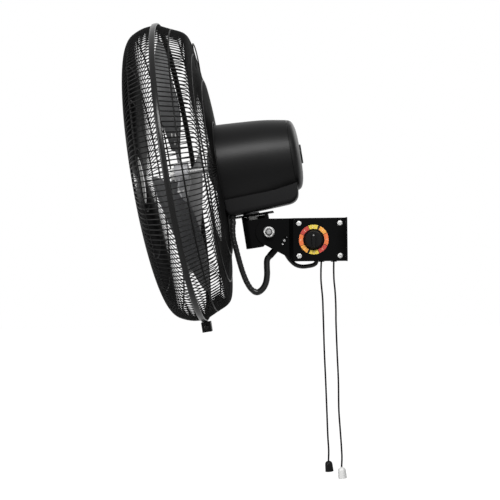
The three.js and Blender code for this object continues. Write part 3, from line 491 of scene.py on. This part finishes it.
def carved(obj, *tools):
    """Cuts tool shapes out of an object. The tools' objects are removed."""
    for tool in tools:
        modifier = obj.modifiers.new("cut", "BOOLEAN")
        modifier.operation = "DIFFERENCE"
        modifier.solver = "EXACT"
        modifier.object = tool
    settle(obj)
    for tool in tools:
        bpy.data.objects.remove(tool)
    obj.data.shade_smooth()
    obj.data.set_sharp_from_angle(angle=math.radians(SHARP_ANGLE))
    return obj


# ---------------------------------------------------------------- cords and cables

CORD_Y = -19
CORD_RADIUS = 1.6
BELL_LEAN = 5  # degrees

# Each pull's route is in X and Z. Its bell is told by its top, its widest radius and its height.
PULLS = {
    "left": {
        "line": [
            (-47.5, -20.3),
            (-47.8, -40),
            (-48.6, -58),
            (-48.7, -76),
            (-47.4, -93),
            (-46, -111),
            (-45.5, -132),
            (-45.1, -150),
            (-44, -206),
            (-42.1, -262),
            (-40.5, -318),
            (-39.2, -365),
            (-37.9, -392),
            (-38.5, -413),
        ],
        "bell": (-38.5, -411),
        "radius": 7.7,
        "height": 19.8,
        "material": BLACK_PLASTIC,
        "slot": "black_plastic",
    },
    "right": {
        "line": [
            (-24.6, -14.3),
            (-24.7, -40),
            (-25, -58),
            (-24.6, -76),
            (-23.1, -93),
            (-22.1, -111),
            (-21.7, -132),
            (-21.8, -150),
            (-20.4, -206),
            (-18.5, -262),
            (-18.2, -318),
            (-16, -355),
            (-14.2, -385),
            (-13.5, -405),
            (-14.4, -424.7),
        ],
        "bell": (-14.4, -422.7),
        "radius": 8,
        "height": 20.6,
        "material": WHITE_PLASTIC,
        "slot": "white_plastic",
    },
}


def pull_bell_profile(radius, height):
    """A bell hung from a cord: a rounded neck, a slightly flared skirt and a hollow underside."""
    r, h = radius, height
    return [
        (0, 0),
        (0.1, CORD_RADIUS),
        (-h * 0.02, r * 0.36),
        (-h * 0.07, r * 0.6),
        (-h * 0.14, r * 0.77),
        (-h * 0.24, r * 0.87),
        (-h * 0.4, r * 0.91),
        (-h * 0.9, r * 0.985),
        (-h * 0.97, r),
        (-h, r * 0.95),
        (-h, r * 0.75),
        (-h * 0.9, r * 0.7),
        (-h * 0.9, 0),
    ]


def pull(side, spec):
    """A pull cord and the bell on its end."""
    bell_x, bell_z = spec["bell"]
    points = [(x, CORD_Y, z) for x, z in spec["line"]]
    path = spline(points, 8)
    cord = solid(
        f"pull_cord_{side}_looks",
        tube(path, CORD_RADIUS, 12),
        CORD_BLACK,
        f"{side}_pull",
        [f"pull_cord_{side}"],
    )
    lean = Matrix.Rotation(-math.radians(BELL_LEAN), 4, "Y")
    bell = solid(
        f"pull_bell_{side}_looks",
        about_z(turned(pull_bell_profile(spec["radius"], spec["height"]), 48)),
        spec["material"],
        f"{side}_pull",
        [f"pull_bell_{side}"],
        place=Matrix.Translation(mm(bell_x, CORD_Y, bell_z)) @ lean,
    )


for pull_side, pull_spec in PULLS.items():
    pull(pull_side, pull_spec)

SLEEVED_RADIUS = 5.1  # the wrapped upper stretch of the motor cable
SLEEVED_LENGTH = 147
CABLE_RADIUS = 5.8  # its plain lower stretch
CABLE_STEP = 0.5  # between two points of its path
JUMPER_RADIUS = 3.9
# The strain relief's sleeve, from its lower to its upper end.
SLEEVE_LOW = np.array([-145.5, 0, -31])
SLEEVE_HIGH = np.array([-131.5, 0, -15.5])
SLEEVE_ALONG = (SLEEVE_HIGH - SLEEVE_LOW) / np.linalg.norm(SLEEVE_HIGH - SLEEVE_LOW)


def gland_point(distance):
    """A point straight out of the gland under the tray."""
    return [v / MM for v in NECK @ mm(-34, -32, -3 - distance)]


MOTOR_CABLE = [
    gland_point(0.3),
    gland_point(7),
    (-211.2, -32, 24),
    (-210.3, -29, 4.4),
    (-205.9, -25, -15),
    (-200.2, -18, -39.2),
    (-194.4, -10, -60.4),
    (-187, -4, -79.5),
    (-178, 0, -93),
    (-168.5, 0, -97.6),
    (-159.5, 0, -92.5),
    (-152.4, 0, -80.9),
    (-149.6, 0, -64.8),
    (-149.8, 0, -49.8),
    (-149.6, 0, -39),
    tuple(SLEEVE_LOW - 3.5 * SLEEVE_ALONG),
    tuple(SLEEVE_LOW - 0.3 * SLEEVE_ALONG),
]
JUMPER = [
    tuple(SLEEVE_HIGH + 0.3 * SLEEVE_ALONG),
    tuple(SLEEVE_HIGH + 3 * SLEEVE_ALONG),
    (-122.5, -2, -12.5),
    (-117, -3.5, -19.5),
    (-110, -6, -32),
    (-102.6, -8, -41),
    (-94.8, -9, -47),
    (-83.7, -9, -50),
    (-71, -9, -49),
    (-62.3, -9, -47),
    (-57.7, -9, -43.5),
    (-57, -9, -40),
    (-57, -9, -34),
]


def evenly(path, step):
    """The same line with points at even distances."""
    path = np.array(path)
    along = np.concatenate([[0], np.cumsum(np.linalg.norm(np.diff(path, axis=0), axis=1))])
    places = np.linspace(0, along[-1], max(2, round(along[-1] / step) + 1))
    return np.stack([np.interp(places, along, path[:, i]) for i in range(3)], 1)


cable_path = evenly(spline(MOTOR_CABLE, 24), CABLE_STEP)
split = round(SLEEVED_LENGTH / CABLE_STEP)
upper_path, lower_path = cable_path[: split + 1], cable_path[split:]
inside_relief = SLEEVE_LOW + 1.5 * SLEEVE_ALONG

# The upper stretch has a spiral wrap, a flat band with a groove between its turns.
WRAP_PITCH = 7.5
WRAP_SIDES = 24
WRAP_PROUD = 0.15
GROOVE_DEPTH = 0.8
GROOVE_HALF_WIDTH = 0.11  # of a turn


def wrapped(step, side):
    """The wrapped cable's radius at a step along it and a side round it."""
    turn = (step * CABLE_STEP / WRAP_PITCH + side / WRAP_SIDES) % 1
    groove = max(0.0, 1 - abs(turn - 0.5) / GROOVE_HALF_WIDTH)
    return SLEEVED_RADIUS + WRAP_PROUD - GROOVE_DEPTH * groove**0.6


upper_cable = solid(
    "cable_upper_looks",
    tube(upper_path, wrapped, WRAP_SIDES),
    SLEEVE_WRAP,
    replaces=["cable_upper"],
    sharp=60,
)
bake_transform(upper_cable)

lower_cable = solid(
    "cable_lower_looks",
    tube([*lower_path[::4], inside_relief], CABLE_RADIUS, 16),
    CABLE_RUBBER,
    replaces=["cable_lower"],
)
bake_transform(lower_cable)

jumper_path = spline(JUMPER, 6)
jumper = solid(
    "jumper_cable_looks",
    tube(jumper_path, JUMPER_RADIUS, 16),
    CABLE_RUBBER,
    "bracket",
    ["jumper_cable"],
)

# ---------------------------------------------------------------- wall arm

EDGE = 0.5  # how far the edges of folded sheet and of nuts are rounded

for plate in ("wall_plate", "arm_side_near", "arm_side_far", "box_roof", "box_floor"):
    refined(plate, EDGE)
refined("control_cover", 0.4)
for node in ("neck_plate", "neck_channel", "tilt_nut", "swivel_bolt", "swivel_nut"):
    refined(node, EDGE)
for node in ("tilt_bolt", "tilt_washer", "guide_screw"):
    refined(node, EDGE, WASHER_ZINC)

TILT_X, TILT_Z = -144, 15
NUT_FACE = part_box("tilt_nut")[0][1] / MM
collar_profile = [(-0.5, 5.3), (-0.5, 6.7), (-0.2, 7), (0.5, 7), (0.5, 5.3)]
solid(
    "tilt_nut_collar",
    moved(about_y(turned(collar_profile, 48, closed=True)), TILT_X, NUT_FACE, TILT_Z),
    COLLAR_GREY,
    node_body["tilt_nut"],
)
refined("cable_strain_relief", 0.6)
refined("cable_gland", 0.4)
refined("clamp_block", 0.8)

COVER_FACE = -37.8
COVER_STAND_OFF = 0.3  # what sits on the cover is this far proud of it
RECESS_TURN = 25  # degrees


def pan_screw(node, at, radius, height, shank, length, body, place=AS_MADE, finish=ZINC):
    """A pan head screw with a cross recess, its head towards -Y, in place of a node."""
    name = node + "_looks"
    x, y, z = at
    profile = [(-height, 0), (-height, radius * 0.3), (-height * 0.97, radius * 0.5)]
    profile += [(-height * 0.86, radius * 0.74), (-height * 0.62, radius * 0.93)]
    profile += [(-height * 0.35, radius), (-0.15, radius), (0, radius * 0.97)]
    profile += [(0, shank), (length, shank), (length, 0)]
    head = solid(
        name,
        moved(about_y(turned(profile, 40)), x, y, z),
        finish,
        None,
        [node],
        place=place,
    )
    tools = []
    for turn in (RECESS_TURN, RECESS_TURN + 90):
        c, s = math.cos(math.radians(turn)), math.sin(math.radians(turn))
        long, wide = radius * 0.62, radius * 0.13
        corners = [(-long, -wide), (long, -wide), (long, wide), (-long, wide)]
        bar = [(x + a * c - b * s, z + a * s + b * c) for a, b in corners]
        recess = prism(bar, y - height - 1, y - height * 0.35)
        tools.append(solid(name + "_recess", recess, finish, place=place))
    carved(head, *tools)
    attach(head, body)


cover_corners = [(x, z) for x in (-88.4, -12.9) for z in (30, -30)]
for screw_number, (screw_x, screw_z) in enumerate(cover_corners, 1):
    pan_screw(
        f"cover_screw_{screw_number}",
        (screw_x, COVER_FACE - COVER_STAND_OFF, screw_z),
        radius=4.85,
        height=2.8,
        shank=2,
        length=9,
        body="bracket",
    )

# Dial: sectors by angle clockwise from the top, in degrees, each colour twice round.
KNOB_X = -61.3
DIAL_BACK = COVER_FACE - COVER_STAND_OFF
DIAL_THICK = 0.35
PRINT_THICK = 0.25
SECTOR_INNER, DIGIT_MIDDLE, SECTOR_OUTER = 19.8, 23.5, 27.3
DIGIT_SIZE = 5.2
DIGIT_DEPTH = 0.04
SECTORS = [
    (-21.5, 18, DIAL_YELLOW, "0"),
    (26.5, 62, DIAL_AMBER, "1"),
    (64, 113, DIAL_ORANGE, "2"),
    (115.5, 157.5, DIAL_RED, "3"),
    (159.5, 199, DIAL_YELLOW, "0"),
    (207.5, 243, DIAL_AMBER, "1"),
    (245, 293, DIAL_ORANGE, "2"),
    (295.5, 336.5, DIAL_RED, "3"),
]
base_profile = [(-DIAL_THICK, 19.3), (0, 19.3), (0, 27.8), (-DIAL_THICK, 27.8)]
solid(
    "dial_base",
    moved(about_y(turned(base_profile, 96, closed=True)), KNOB_X, DIAL_BACK, 0),
    DIAL_BLACK,
    "bracket",
    ["dial_ring"],
)


def on_dial(radius, angle):
    """X and Z of a point on the dial, by its angle clockwise from the top."""
    return KNOB_X + radius * math.sin(angle), radius * math.cos(angle)


def dial_sector(number, start, end, material, digit):
    """One printed sector of the dial and the digit on it."""
    steps = 14
    angles = [math.radians(start + (end - start) * i / steps) for i in range(steps + 1)]
    outer = [on_dial(SECTOR_OUTER, a) for a in angles]
    inner = [on_dial(SECTOR_INNER, a) for a in reversed(angles)]
    print_back = DIAL_BACK - DIAL_THICK
    print_face = print_back - PRINT_THICK
    solid(
        f"dial_sector_{number}",
        prism(outer + inner, print_face, print_back),
        material,
        "bracket",
    )
    middle = math.radians((start + end) / 2)
    digit_x, digit_z = on_dial(DIGIT_MIDDLE, middle)
    curve = bpy.data.curves.new(f"dial_digit_{number}", "FONT")
    curve.body = digit
    curve.size = DIGIT_SIZE * MM
    curve.extrude = DIGIT_DEPTH * MM
    curve.align_x = curve.align_y = "CENTER"
    text = bpy.data.objects.new(f"dial_digit_{number}", curve)
    bpy.context.scene.collection.objects.link(text)
    text.matrix_world = (
        Matrix.Translation(mm(digit_x, print_face - DIGIT_DEPTH / 2, digit_z))
        @ Matrix.Rotation(middle, 4, "Y")
        @ Matrix.Rotation(math.pi / 2, 4, "X")
    )
    bpy.context.view_layer.update()
    mesh = bpy.data.meshes.new_from_object(
        text.evaluated_get(bpy.context.evaluated_depsgraph_get())
    )
    mesh.transform(text.matrix_world)
    mesh.materials.clear()
    mesh.materials.append(DIAL_PALE)
    bpy.data.objects.remove(text)
    register(add_mesh(f"dial_digit_{number}", mesh), "bracket")


for sector_number, sector in enumerate(SECTORS, 1):
    dial_sector(sector_number, *sector)

# Knob: a round cap with a raised grip that points up.
KNOB_BASE = COVER_FACE - COVER_STAND_OFF
GRIP_FACE, GRIP_FOOT = -14.5, -8.5
knob_profile = [(-9.2, 0), (-9.2, 14.4), (-8.9, 15.4), (-8.2, 16), (-5, 16.5), (-3.4, 16.8)]
knob_profile += [(-3, 17.5), (-1, 17.8), (0, 17.8), (0, 3), (7.8, 3), (7.8, 0)]
solid(
    "knob_cap",
    moved(about_y(turned(rounded(knob_profile, 0.6, 2), 96)), KNOB_X, KNOB_BASE, 0),
    BLACK_PLASTIC,
    "knob",
    ["speed_knob"],
)
grip_outline = [(-2.6, -14.6), (2.6, -14.6), (3.6, -6), (4.3, 3), (3.2, 10), (0, 15.6)]
grip_outline += [(-3.2, 10), (-4.3, 3), (-3.6, -6)]
grip = solid(
    "knob_grip",
    moved(prism(grip_outline, GRIP_FACE, GRIP_FOOT), KNOB_X, KNOB_BASE, 0),
    BLACK_PLASTIC,
    None,
)
bevelled(grip, 1.1, 3, 30)
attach(grip, "knob")
solid(
    "knob_pointer_mark",
    moved(prism(regular(0, 8, 1.5, 20), GRIP_FACE - 0.06, GRIP_FACE + 0.1), KNOB_X, KNOB_BASE, 0),
    POINTER_GREY,
    "knob",
)

# ---------------------------------------------------------------- motor head

# Profiles here are (along the motor's axis towards the wall, radius).
shell_curve = spline([(-43.4, 79), (-37, 78.9), (0, 77.2), (43, 74.4), (67, 71.3), (91.7, 67)], 6)
shell_outline = [(-43.4, 76), (-43.4, 78.6), (-42.9, 79)] + [tuple(p) for p in shell_curve[1:]]
shell_outline += [(92, 66.7), (92, 62.6)]
shell_inside = [(90, 63), (67, 66.3), (43, 69.8), (0, 73)]
solid(
    "motor_shell_looks",
    turned(shell_outline + shell_inside, 160, closed=True),
    GLOSS_SHELL,
    "head",
    ["motor_shell"],
    HEAD,
    sharp=30,
)
cap_inside = [(104, 0), (104, 50), (97, 57), (88, 59.5), (88, 62), (92.4, 61.5)]
cap_outline = [(92.4, 66.4), (92.7, 66.7), (97, 65.4)]
cap_outline += [(100.2, 63.4), (102.4, 60.6), (104.2, 56.8), (105.8, 51.5), (107.2, 45)]
cap_outline += [(108.2, 36), (108.8, 25), (109, 19), (109, 0)]
solid(
    "rear_cap_looks",
    turned(cap_inside + cap_outline, 160),
    GLOSS_SHELL,
    "head",
    ["rear_cap"],
    HEAD,
    sharp=30,
)
solid(
    "rear_plug_looks",
    turned(rounded([(108.5, 0), (108.5, 18), (111.9, 17.6), (111.9, 0)], 0.8, 3), 64),
    BLACK_PLASTIC,
    "head",
    ["rear_plug"],
    HEAD,
)
end_bell_profile = [(-66, 17.3), (-48, 17.3), (-48, 21), (-60, 22), (-56, 38), (-43.6, 54)]
end_bell_profile += [(-36, 71.5), (-36, 74.2), (-46.6, 74.2), (-46.6, 59.5), (-53, 52)]
end_bell_profile += [(-60, 40), (-64.5, 25), (-66, 21)]
solid(
    "front_end_bell_looks",
    turned(end_bell_profile, 96, closed=True),
    GLOSS_SHELL,
    "head",
    ["front_end_bell"],
    HEAD,
)
for node in ("guard_mount_plate", "swivel_boss"):
    refined(node, 0.4)

# The tray's underside in the middle, as (along, height) in the neck's frame.
TRAY_BOTTOM = [
    (-42.6, 13),
    (-42.3, 9),
    (-41, 6),
    (-38.5, 3.6),
    (-35, 2.6),
    (-19, 3.35),
    (17, 4.9),
    (50, 6.6),
    (74, 8.1),
    (80, 9.4),
    (85, 11.6),
    (89, 14.8),
    (92, 19.5),
    (93.6, 25),
    (94.5, 33),
    (94.6, 38),
]


TRAY_HALF_WIDTH = 45.5
TRAY_TAPER = 0.13  # the share of its width that the tray loses towards the wall
TRAY_CORNER = 8.0
CORNER_STEPS = 8


def tray_surface():
    """Sections across the tray, each a U with rounded lower corners, closed inside the shell."""
    rows = []
    for x, low in TRAY_BOTTOM:
        half = TRAY_HALF_WIDTH * (1 - TRAY_TAPER * max(0.0, (x + 10) / 105))
        top = 38 + (x + 43) * 0.1
        ring = [(half, top)]
        for i in range(CORNER_STEPS + 1):
            a = i / CORNER_STEPS * math.pi / 2
            y = half - TRAY_CORNER * (1 - math.cos(a))
            z = low + TRAY_CORNER * (1 - math.sin(a))
            ring.append((y, z))
        ring += [(-y, z) for y, z in reversed(ring)]
        rows.append([(x, y, min(z, top)) for y, z in ring])
    count = len(rows[0])
    vertices = [v for row in rows for v in row]
    faces = []
    for i in range(len(rows) - 1):
        for k in range(count):
            n = (k + 1) % count
            a, b = i * count, (i + 1) * count
            faces.append([a + k, a + n, b + n, b + k])
    faces.append(list(range(count)))
    faces.append([(len(rows) - 1) * count + k for k in range(count)])
    return vertices, faces


solid(
    "gear_case_cover_looks",
    tray_surface(),
    TRAY_PLASTIC,
    "head",
    ["gear_case_cover"],
    NECK,
    sharp=45,
)

# ---------------------------------------------------------------- cage

# A wire's curve and a hoop are (along the motor's axis from the clamp band, radius).
WIRES_PER_GUARD = 180
WIRE_RADIUS = 1.1
HOOP_RADIUS = 1.5
FRONT_CURVE = [(-2, 278), (-20, 276.5), (-35.5, 271.5), (-47.5, 264.5), (-55.5, 253.5)]
FRONT_CURVE += [(-60.6, 240), (-64.4, 224), (-68.2, 200), (-71.6, 170), (-74.1, 130)]
FRONT_CURVE += [(-76, 90), (-77, 45)]
REAR_CURVE = [(2, 278), (25, 267), (45, 257.5), (52, 250), (54.5, 240), (57, 215), (60, 190)]
REAR_CURVE += [(66, 170), (69.5, 150), (71, 120), (72, 85)]
FRONT_HOOPS = [(-2, 278), (-46.6, 263.5), (-65.8, 214), (-72.8, 150), (-76.5, 60)]
REAR_HOOPS = [(2, 278), (27, 266), (58.2, 215), (67.6, 165), (73.5, 85)]


def wires(curve, count, sides=6):
    """One wire bent along a curve, repeated round the motor's axis."""
    path = [(x, 0.0, r) for x, r in spline(curve, 3)]
    one, loops = tube(path, WIRE_RADIUS, sides)
    one = np.array(one)
    shapes = []
    for i in range(count):
        a = TAU * (i + 0.5) / count
        turn = np.array([[1, 0, 0], [0, math.cos(a), -math.sin(a)], [0, math.sin(a), math.cos(a)]])
        shapes.append(([tuple(v) for v in one @ turn.T], loops))
    return together(*shapes)


def hoop(x, r, sides=10, steps=180):
    """A ring of wire round the motor's axis."""
    path = [(x, r * math.cos(TAU * i / steps), r * math.sin(TAU * i / steps)) for i in range(steps)]
    return tube(path, HOOP_RADIUS, sides, closed=True)


GUARDS = {"front_guard": (FRONT_CURVE, FRONT_HOOPS), "rear_guard": (REAR_CURVE, REAR_HOOPS)}
for node, (curve, hoops) in GUARDS.items():
    solid(
        node + "_looks",
        together(wires(curve, WIRES_PER_GUARD), *[hoop(x, r) for x, r in hoops]),
        BLACK_WIRE,
        "head",
        [node],
        RING,
        mend=False,
    )
ring_profile = [(-5.2, 279.9), (5.2, 279.9), (5.25, 281), (4.4, 282), (2.4, 282.5), (0, 282.6)]
ring_profile += [(-2.4, 282.5), (-4.4, 282), (-5.25, 281)]
solid(
    "clamp_ring_looks",
    turned(ring_profile, 240, closed=True),
    RING_BLACK,
    "head",
    ["clamp_ring"],
    RING,
    sharp=60,
)
disc_profile = [(-78.9, 0), (-78.9, 46.5), (-79.6, 47), (-80.4, 46.4), (-81.6, 43), (-82.3, 38)]
disc_profile += [(-82.5, 20), (-82.5, 0)]
solid(
    "guard_centre_disc_looks",
    turned(disc_profile, 96),
    GREY_PLASTIC,
    "head",
    ["guard_centre_disc"],
    RING,
)
loop_points = [(61.5, -40, 183), (61.5, -40.5, 204), (60.8, -36, 224), (60.4, -22, 233.5)]
loop_points += [(60.2, 0, 236)]
loop_points += [(x, -y, z) for x, y, z in reversed(loop_points[:-1])]
solid(
    "hanging_loop_looks",
    tube(spline(loop_points, 8), 1.25, 10),
    BLACK_WIRE,
    "head",
    ["hanging_loop"],
    RING,
)
pan_screw(
    "clamp_screw",
    (1, -10.3, -292.5),
    radius=4.6,
    height=3,
    shank=2.5,
    length=24,
    body="head",
    place=RING,
    finish=RING_BLACK,
)

# ---------------------------------------------------------------- rotor

BLADE_ANGLES = (100, -20, -140)  # degrees, as the photograph shows the rotor
BLADE_ROOT, BLADE_TIP = 43, 250
BLADE_THICK = 1.6
BLADE_CAMBER = 5
ARM_ROOT, ARM_END = 17, 80
ARM_THICK = 3.0
ARM_LIFT = 1.4  # from the blade's middle to the arm's front face


def clamped(t):
    """t, kept between 0 and 1."""
    return min(1, max(0, t))


def blade_slope(r):
    """How fast the blade rises along the axis round its arc: steep at the root, flat at the tip."""
    return 0.45 - 0.26 * clamped((r - 45) / 175)


def blade_half_angle(r):
    """Half the angle that the blade spans at a radius."""
    t = clamped((r - BLADE_ROOT) / 110)
    return math.radians(25 + 11 * t * t * (3 - 2 * t))


def on_blade(across, r, phi, lift=0.0):
    """A point of the twisted blade. across runs from -1 at one edge to 1 at the other."""
    angle = across * blade_half_angle(r)
    camber = BLADE_CAMBER * (1 - min(1, across * across)) * min(1, r / 200)
    x = -3.5 + blade_slope(r) * r * angle + camber + lift
    turn = math.radians(phi) + angle
    return x, r * math.cos(turn), r * math.sin(turn)


def blade_sheet(phi, rows=40, columns=36):
    """A blade with rounded corners at its tip and its root."""
    front, rear = [], []
    for i in range(rows + 1):
        for k in range(columns + 1):
            across = 2 * k / columns - 1
            tip = BLADE_TIP - 24 * abs(across) ** 5
            root = BLADE_ROOT + 6 * abs(across) ** 4
            r = root + (tip - root) * i / rows
            front.append(on_blade(across, r, phi, -BLADE_THICK / 2))
            rear.append(on_blade(across, r, phi, BLADE_THICK / 2))
    return sheet(front, rear, rows, columns)


def spider_arm(phi, rows=14, columns=8):
    """An arm that follows the blade's rear face from the hub to a round end."""
    end_start, end_reach = ARM_END - 10, 14
    front, rear = [], []
    for i in range(rows + 1):
        r = ARM_ROOT + (ARM_END - ARM_ROOT) * i / rows
        reach = 6 + 8 * min(1, (r - ARM_ROOT) / 45)
        if r > end_start:
            reach = math.sqrt(max(0, end_reach**2 - (r - end_start) ** 2 * 1.6))
        for k in range(columns + 1):
            angle = (2 * k / columns - 1) * reach / r
            across = angle / blade_half_angle(r)
            front.append(on_blade(across, r, phi, ARM_LIFT))
            rear.append(on_blade(across, r, phi, ARM_LIFT + ARM_THICK))
    return sheet(front, rear, rows, columns)


hub_profile = rounded([(-12, 7.3), (-12, 21), (14, 21), (14, 7.3)], 1.2, 3)
solid(
    "blade_spider_looks",
    together(turned(hub_profile, 64, closed=True), *[spider_arm(phi) for phi in BLADE_ANGLES]),
    CAST_ALUMINIUM,
    "rotor",
    ["blade_spider"],
    RING,
)

# A rivet's head on the blade's front and its closed end on the arm, as (along, radius).
RIVET = [(-2.6, 0), (-2.4, 1.6), (-1.8, 2.8), (-0.8, 3.4), (4.8, 3.4), (5.6, 2.4), (5.8, 0)]
RIVET_PLACES = ((58, 0.0), (74, -0.32), (74, 0.32))  # radius, and how far across the blade

for blade_number, phi in enumerate(BLADE_ANGLES, 1):
    solid(
        f"blade_{blade_number}_looks",
        blade_sheet(phi),
        DARK_BLADE,
        "rotor",
        [f"blade_{blade_number}"],
        RING,
        sharp=50,
    )
    rivets = [moved(turned(RIVET, 20), *on_blade(side, r, phi)) for r, side in RIVET_PLACES]
    solid(
        f"blade_{blade_number}_rivets",
        together(*rivets),
        ZINC,
        "rotor",
        place=RING,
    )
refined("hub_nut", 0.8)
solid(
    "motor_shaft_looks",
    turned([(-20, 0), (-20, 6), (-19, 7), (195, 7), (195, 0)], 48),
    BARE_STEEL,
    "rotor",
    ["motor_shaft"],
    RING,
)

# ---------------------------------------------------------------- floor and light

DIM_WORLD = 0.06  # what the world lights the fan with


def seen_ray(nodes, links):
    """A socket that is 1 for the rays that show a background: straight, mirrored or through glass."""
    path_kind = nodes.new("ShaderNodeLightPath")
    socket = path_kind.outputs["Is Camera Ray"]
    for kind in ("Is Glossy Ray", "Is Transmission Ray"):
        either = nodes.new("ShaderNodeMath")
        either.operation = "MAXIMUM"
        links.new(socket, either.inputs[0])
        links.new(path_kind.outputs[kind], either.inputs[1])
        socket = either.outputs["Value"]
    return socket


def white_world():
    """A world that shows white and lights the fan only a little."""
    world = bpy.data.worlds.new("studio")
    bpy.context.scene.world = world
    world.use_nodes = True
    nodes, links = world.node_tree.nodes, world.node_tree.links
    dim = nodes["Background"]
    dim.inputs["Color"].default_value = (1, 1, 1, 1)
    dim.inputs["Strength"].default_value = DIM_WORLD
    white = nodes.new("ShaderNodeBackground")
    white.inputs["Color"].default_value = (1, 1, 1, 1)
    white.inputs["Strength"].default_value = 1.0
    mix = nodes.new("ShaderNodeMixShader")
    links.new(seen_ray(nodes, links), mix.inputs["Fac"])
    links.new(dim.outputs["Background"], mix.inputs[1])
    links.new(white.outputs["Background"], mix.inputs[2])
    links.new(mix.outputs["Shader"], nodes["World Output"].inputs["Surface"])


# The floor, in metres. Where it is seen it glows a little, more so far away.
FLOOR_DROP = 2.0  # from the fan's arm down to the floor, as a wall fan hangs
FLOOR_HALF = 30.0
FLOOR_COLOUR = 0.8
FADE_NEAR, FADE_FAR = 1.5, 6.0
GLOW_NEAR, GLOW_FAR = 0.5, 1.0


def pale_floor():
    """A plain pale floor that keeps the fan's shadow and fades into the white world."""
    h = FLOOR_HALF
    mesh = bpy.data.meshes.new("floor")
    mesh.from_pydata([(-h, -h, 0), (h, -h, 0), (h, h, 0), (-h, h, 0)], [], [[0, 1, 2, 3]])
    floor = bpy.data.objects.new("floor", mesh)
    floor.location = (0, 0, -FLOOR_DROP)
    bpy.context.scene.collection.objects.link(floor)
    material = bpy.data.materials.new("floor")
    material.use_nodes = True
    nodes, links = material.node_tree.nodes, material.node_tree.links
    nodes.remove(nodes["Principled BSDF"])
    paint = nodes.new("ShaderNodeBsdfDiffuse")
    paint.inputs["Color"].default_value = (FLOOR_COLOUR, FLOOR_COLOUR, FLOOR_COLOUR, 1)
    place = nodes.new("ShaderNodeTexCoord")
    away = nodes.new("ShaderNodeVectorMath")
    away.operation = "LENGTH"
    links.new(place.outputs["Object"], away.inputs[0])
    fade = nodes.new("ShaderNodeMapRange")
    fade.inputs["From Min"].default_value = FADE_NEAR
    fade.inputs["From Max"].default_value = FADE_FAR
    fade.inputs["To Min"].default_value = GLOW_NEAR
    fade.inputs["To Max"].default_value = GLOW_FAR
    links.new(away.outputs["Value"], fade.inputs["Value"])
    strength = nodes.new("ShaderNodeMath")
    strength.operation = "MULTIPLY"
    links.new(seen_ray(nodes, links), strength.inputs[0])
    links.new(fade.outputs["Result"], strength.inputs[1])
    glow = nodes.new("ShaderNodeEmission")
    links.new(strength.outputs["Value"], glow.inputs["Strength"])
    both = nodes.new("ShaderNodeAddShader")
    links.new(paint.outputs["BSDF"], both.inputs[0])
    links.new(glow.outputs["Emission"], both.inputs[1])
    links.new(both.outputs["Shader"], nodes["Material Output"].inputs["Surface"])
    mesh.materials.append(material)


white_world()
pale_floor()


def softbox(name, place, aim, size, power):
    """A soft lamp at a place, in metres, turned to a point, with its size in metres and watts."""
    data = bpy.data.lights.new(name, "AREA")
    data.shape = "RECTANGLE"
    data.size, data.size_y = size
    data.energy = power
    lamp = bpy.data.objects.new(name, data)
    bpy.context.scene.collection.objects.link(lamp)
    lamp.location = place
    lamp.rotation_mode = "QUATERNION"
    lamp.rotation_quaternion = (Vector(aim) - Vector(place)).to_track_quat("-Z", "Y")


softbox("key", (0.1, -1.9, 1.5), (-0.2, 0, 0.1), (1.5, 0.7), 88)
softbox("fill", (1.2, -2.2, 0.3), (-0.15, 0, 0.0), (0.9, 0.9), 7)
softbox("side", (-1.8, -1.5, 0.5), (-0.3, 0, 0.1), (0.6, 1.3), 40)
softbox("rim", (0.9, 1.5, 1.1), (-0.2, 0, 0.1), (1.6, 1.2), 9)

bpy.context.scene.view_settings.view_transform = "Standard"
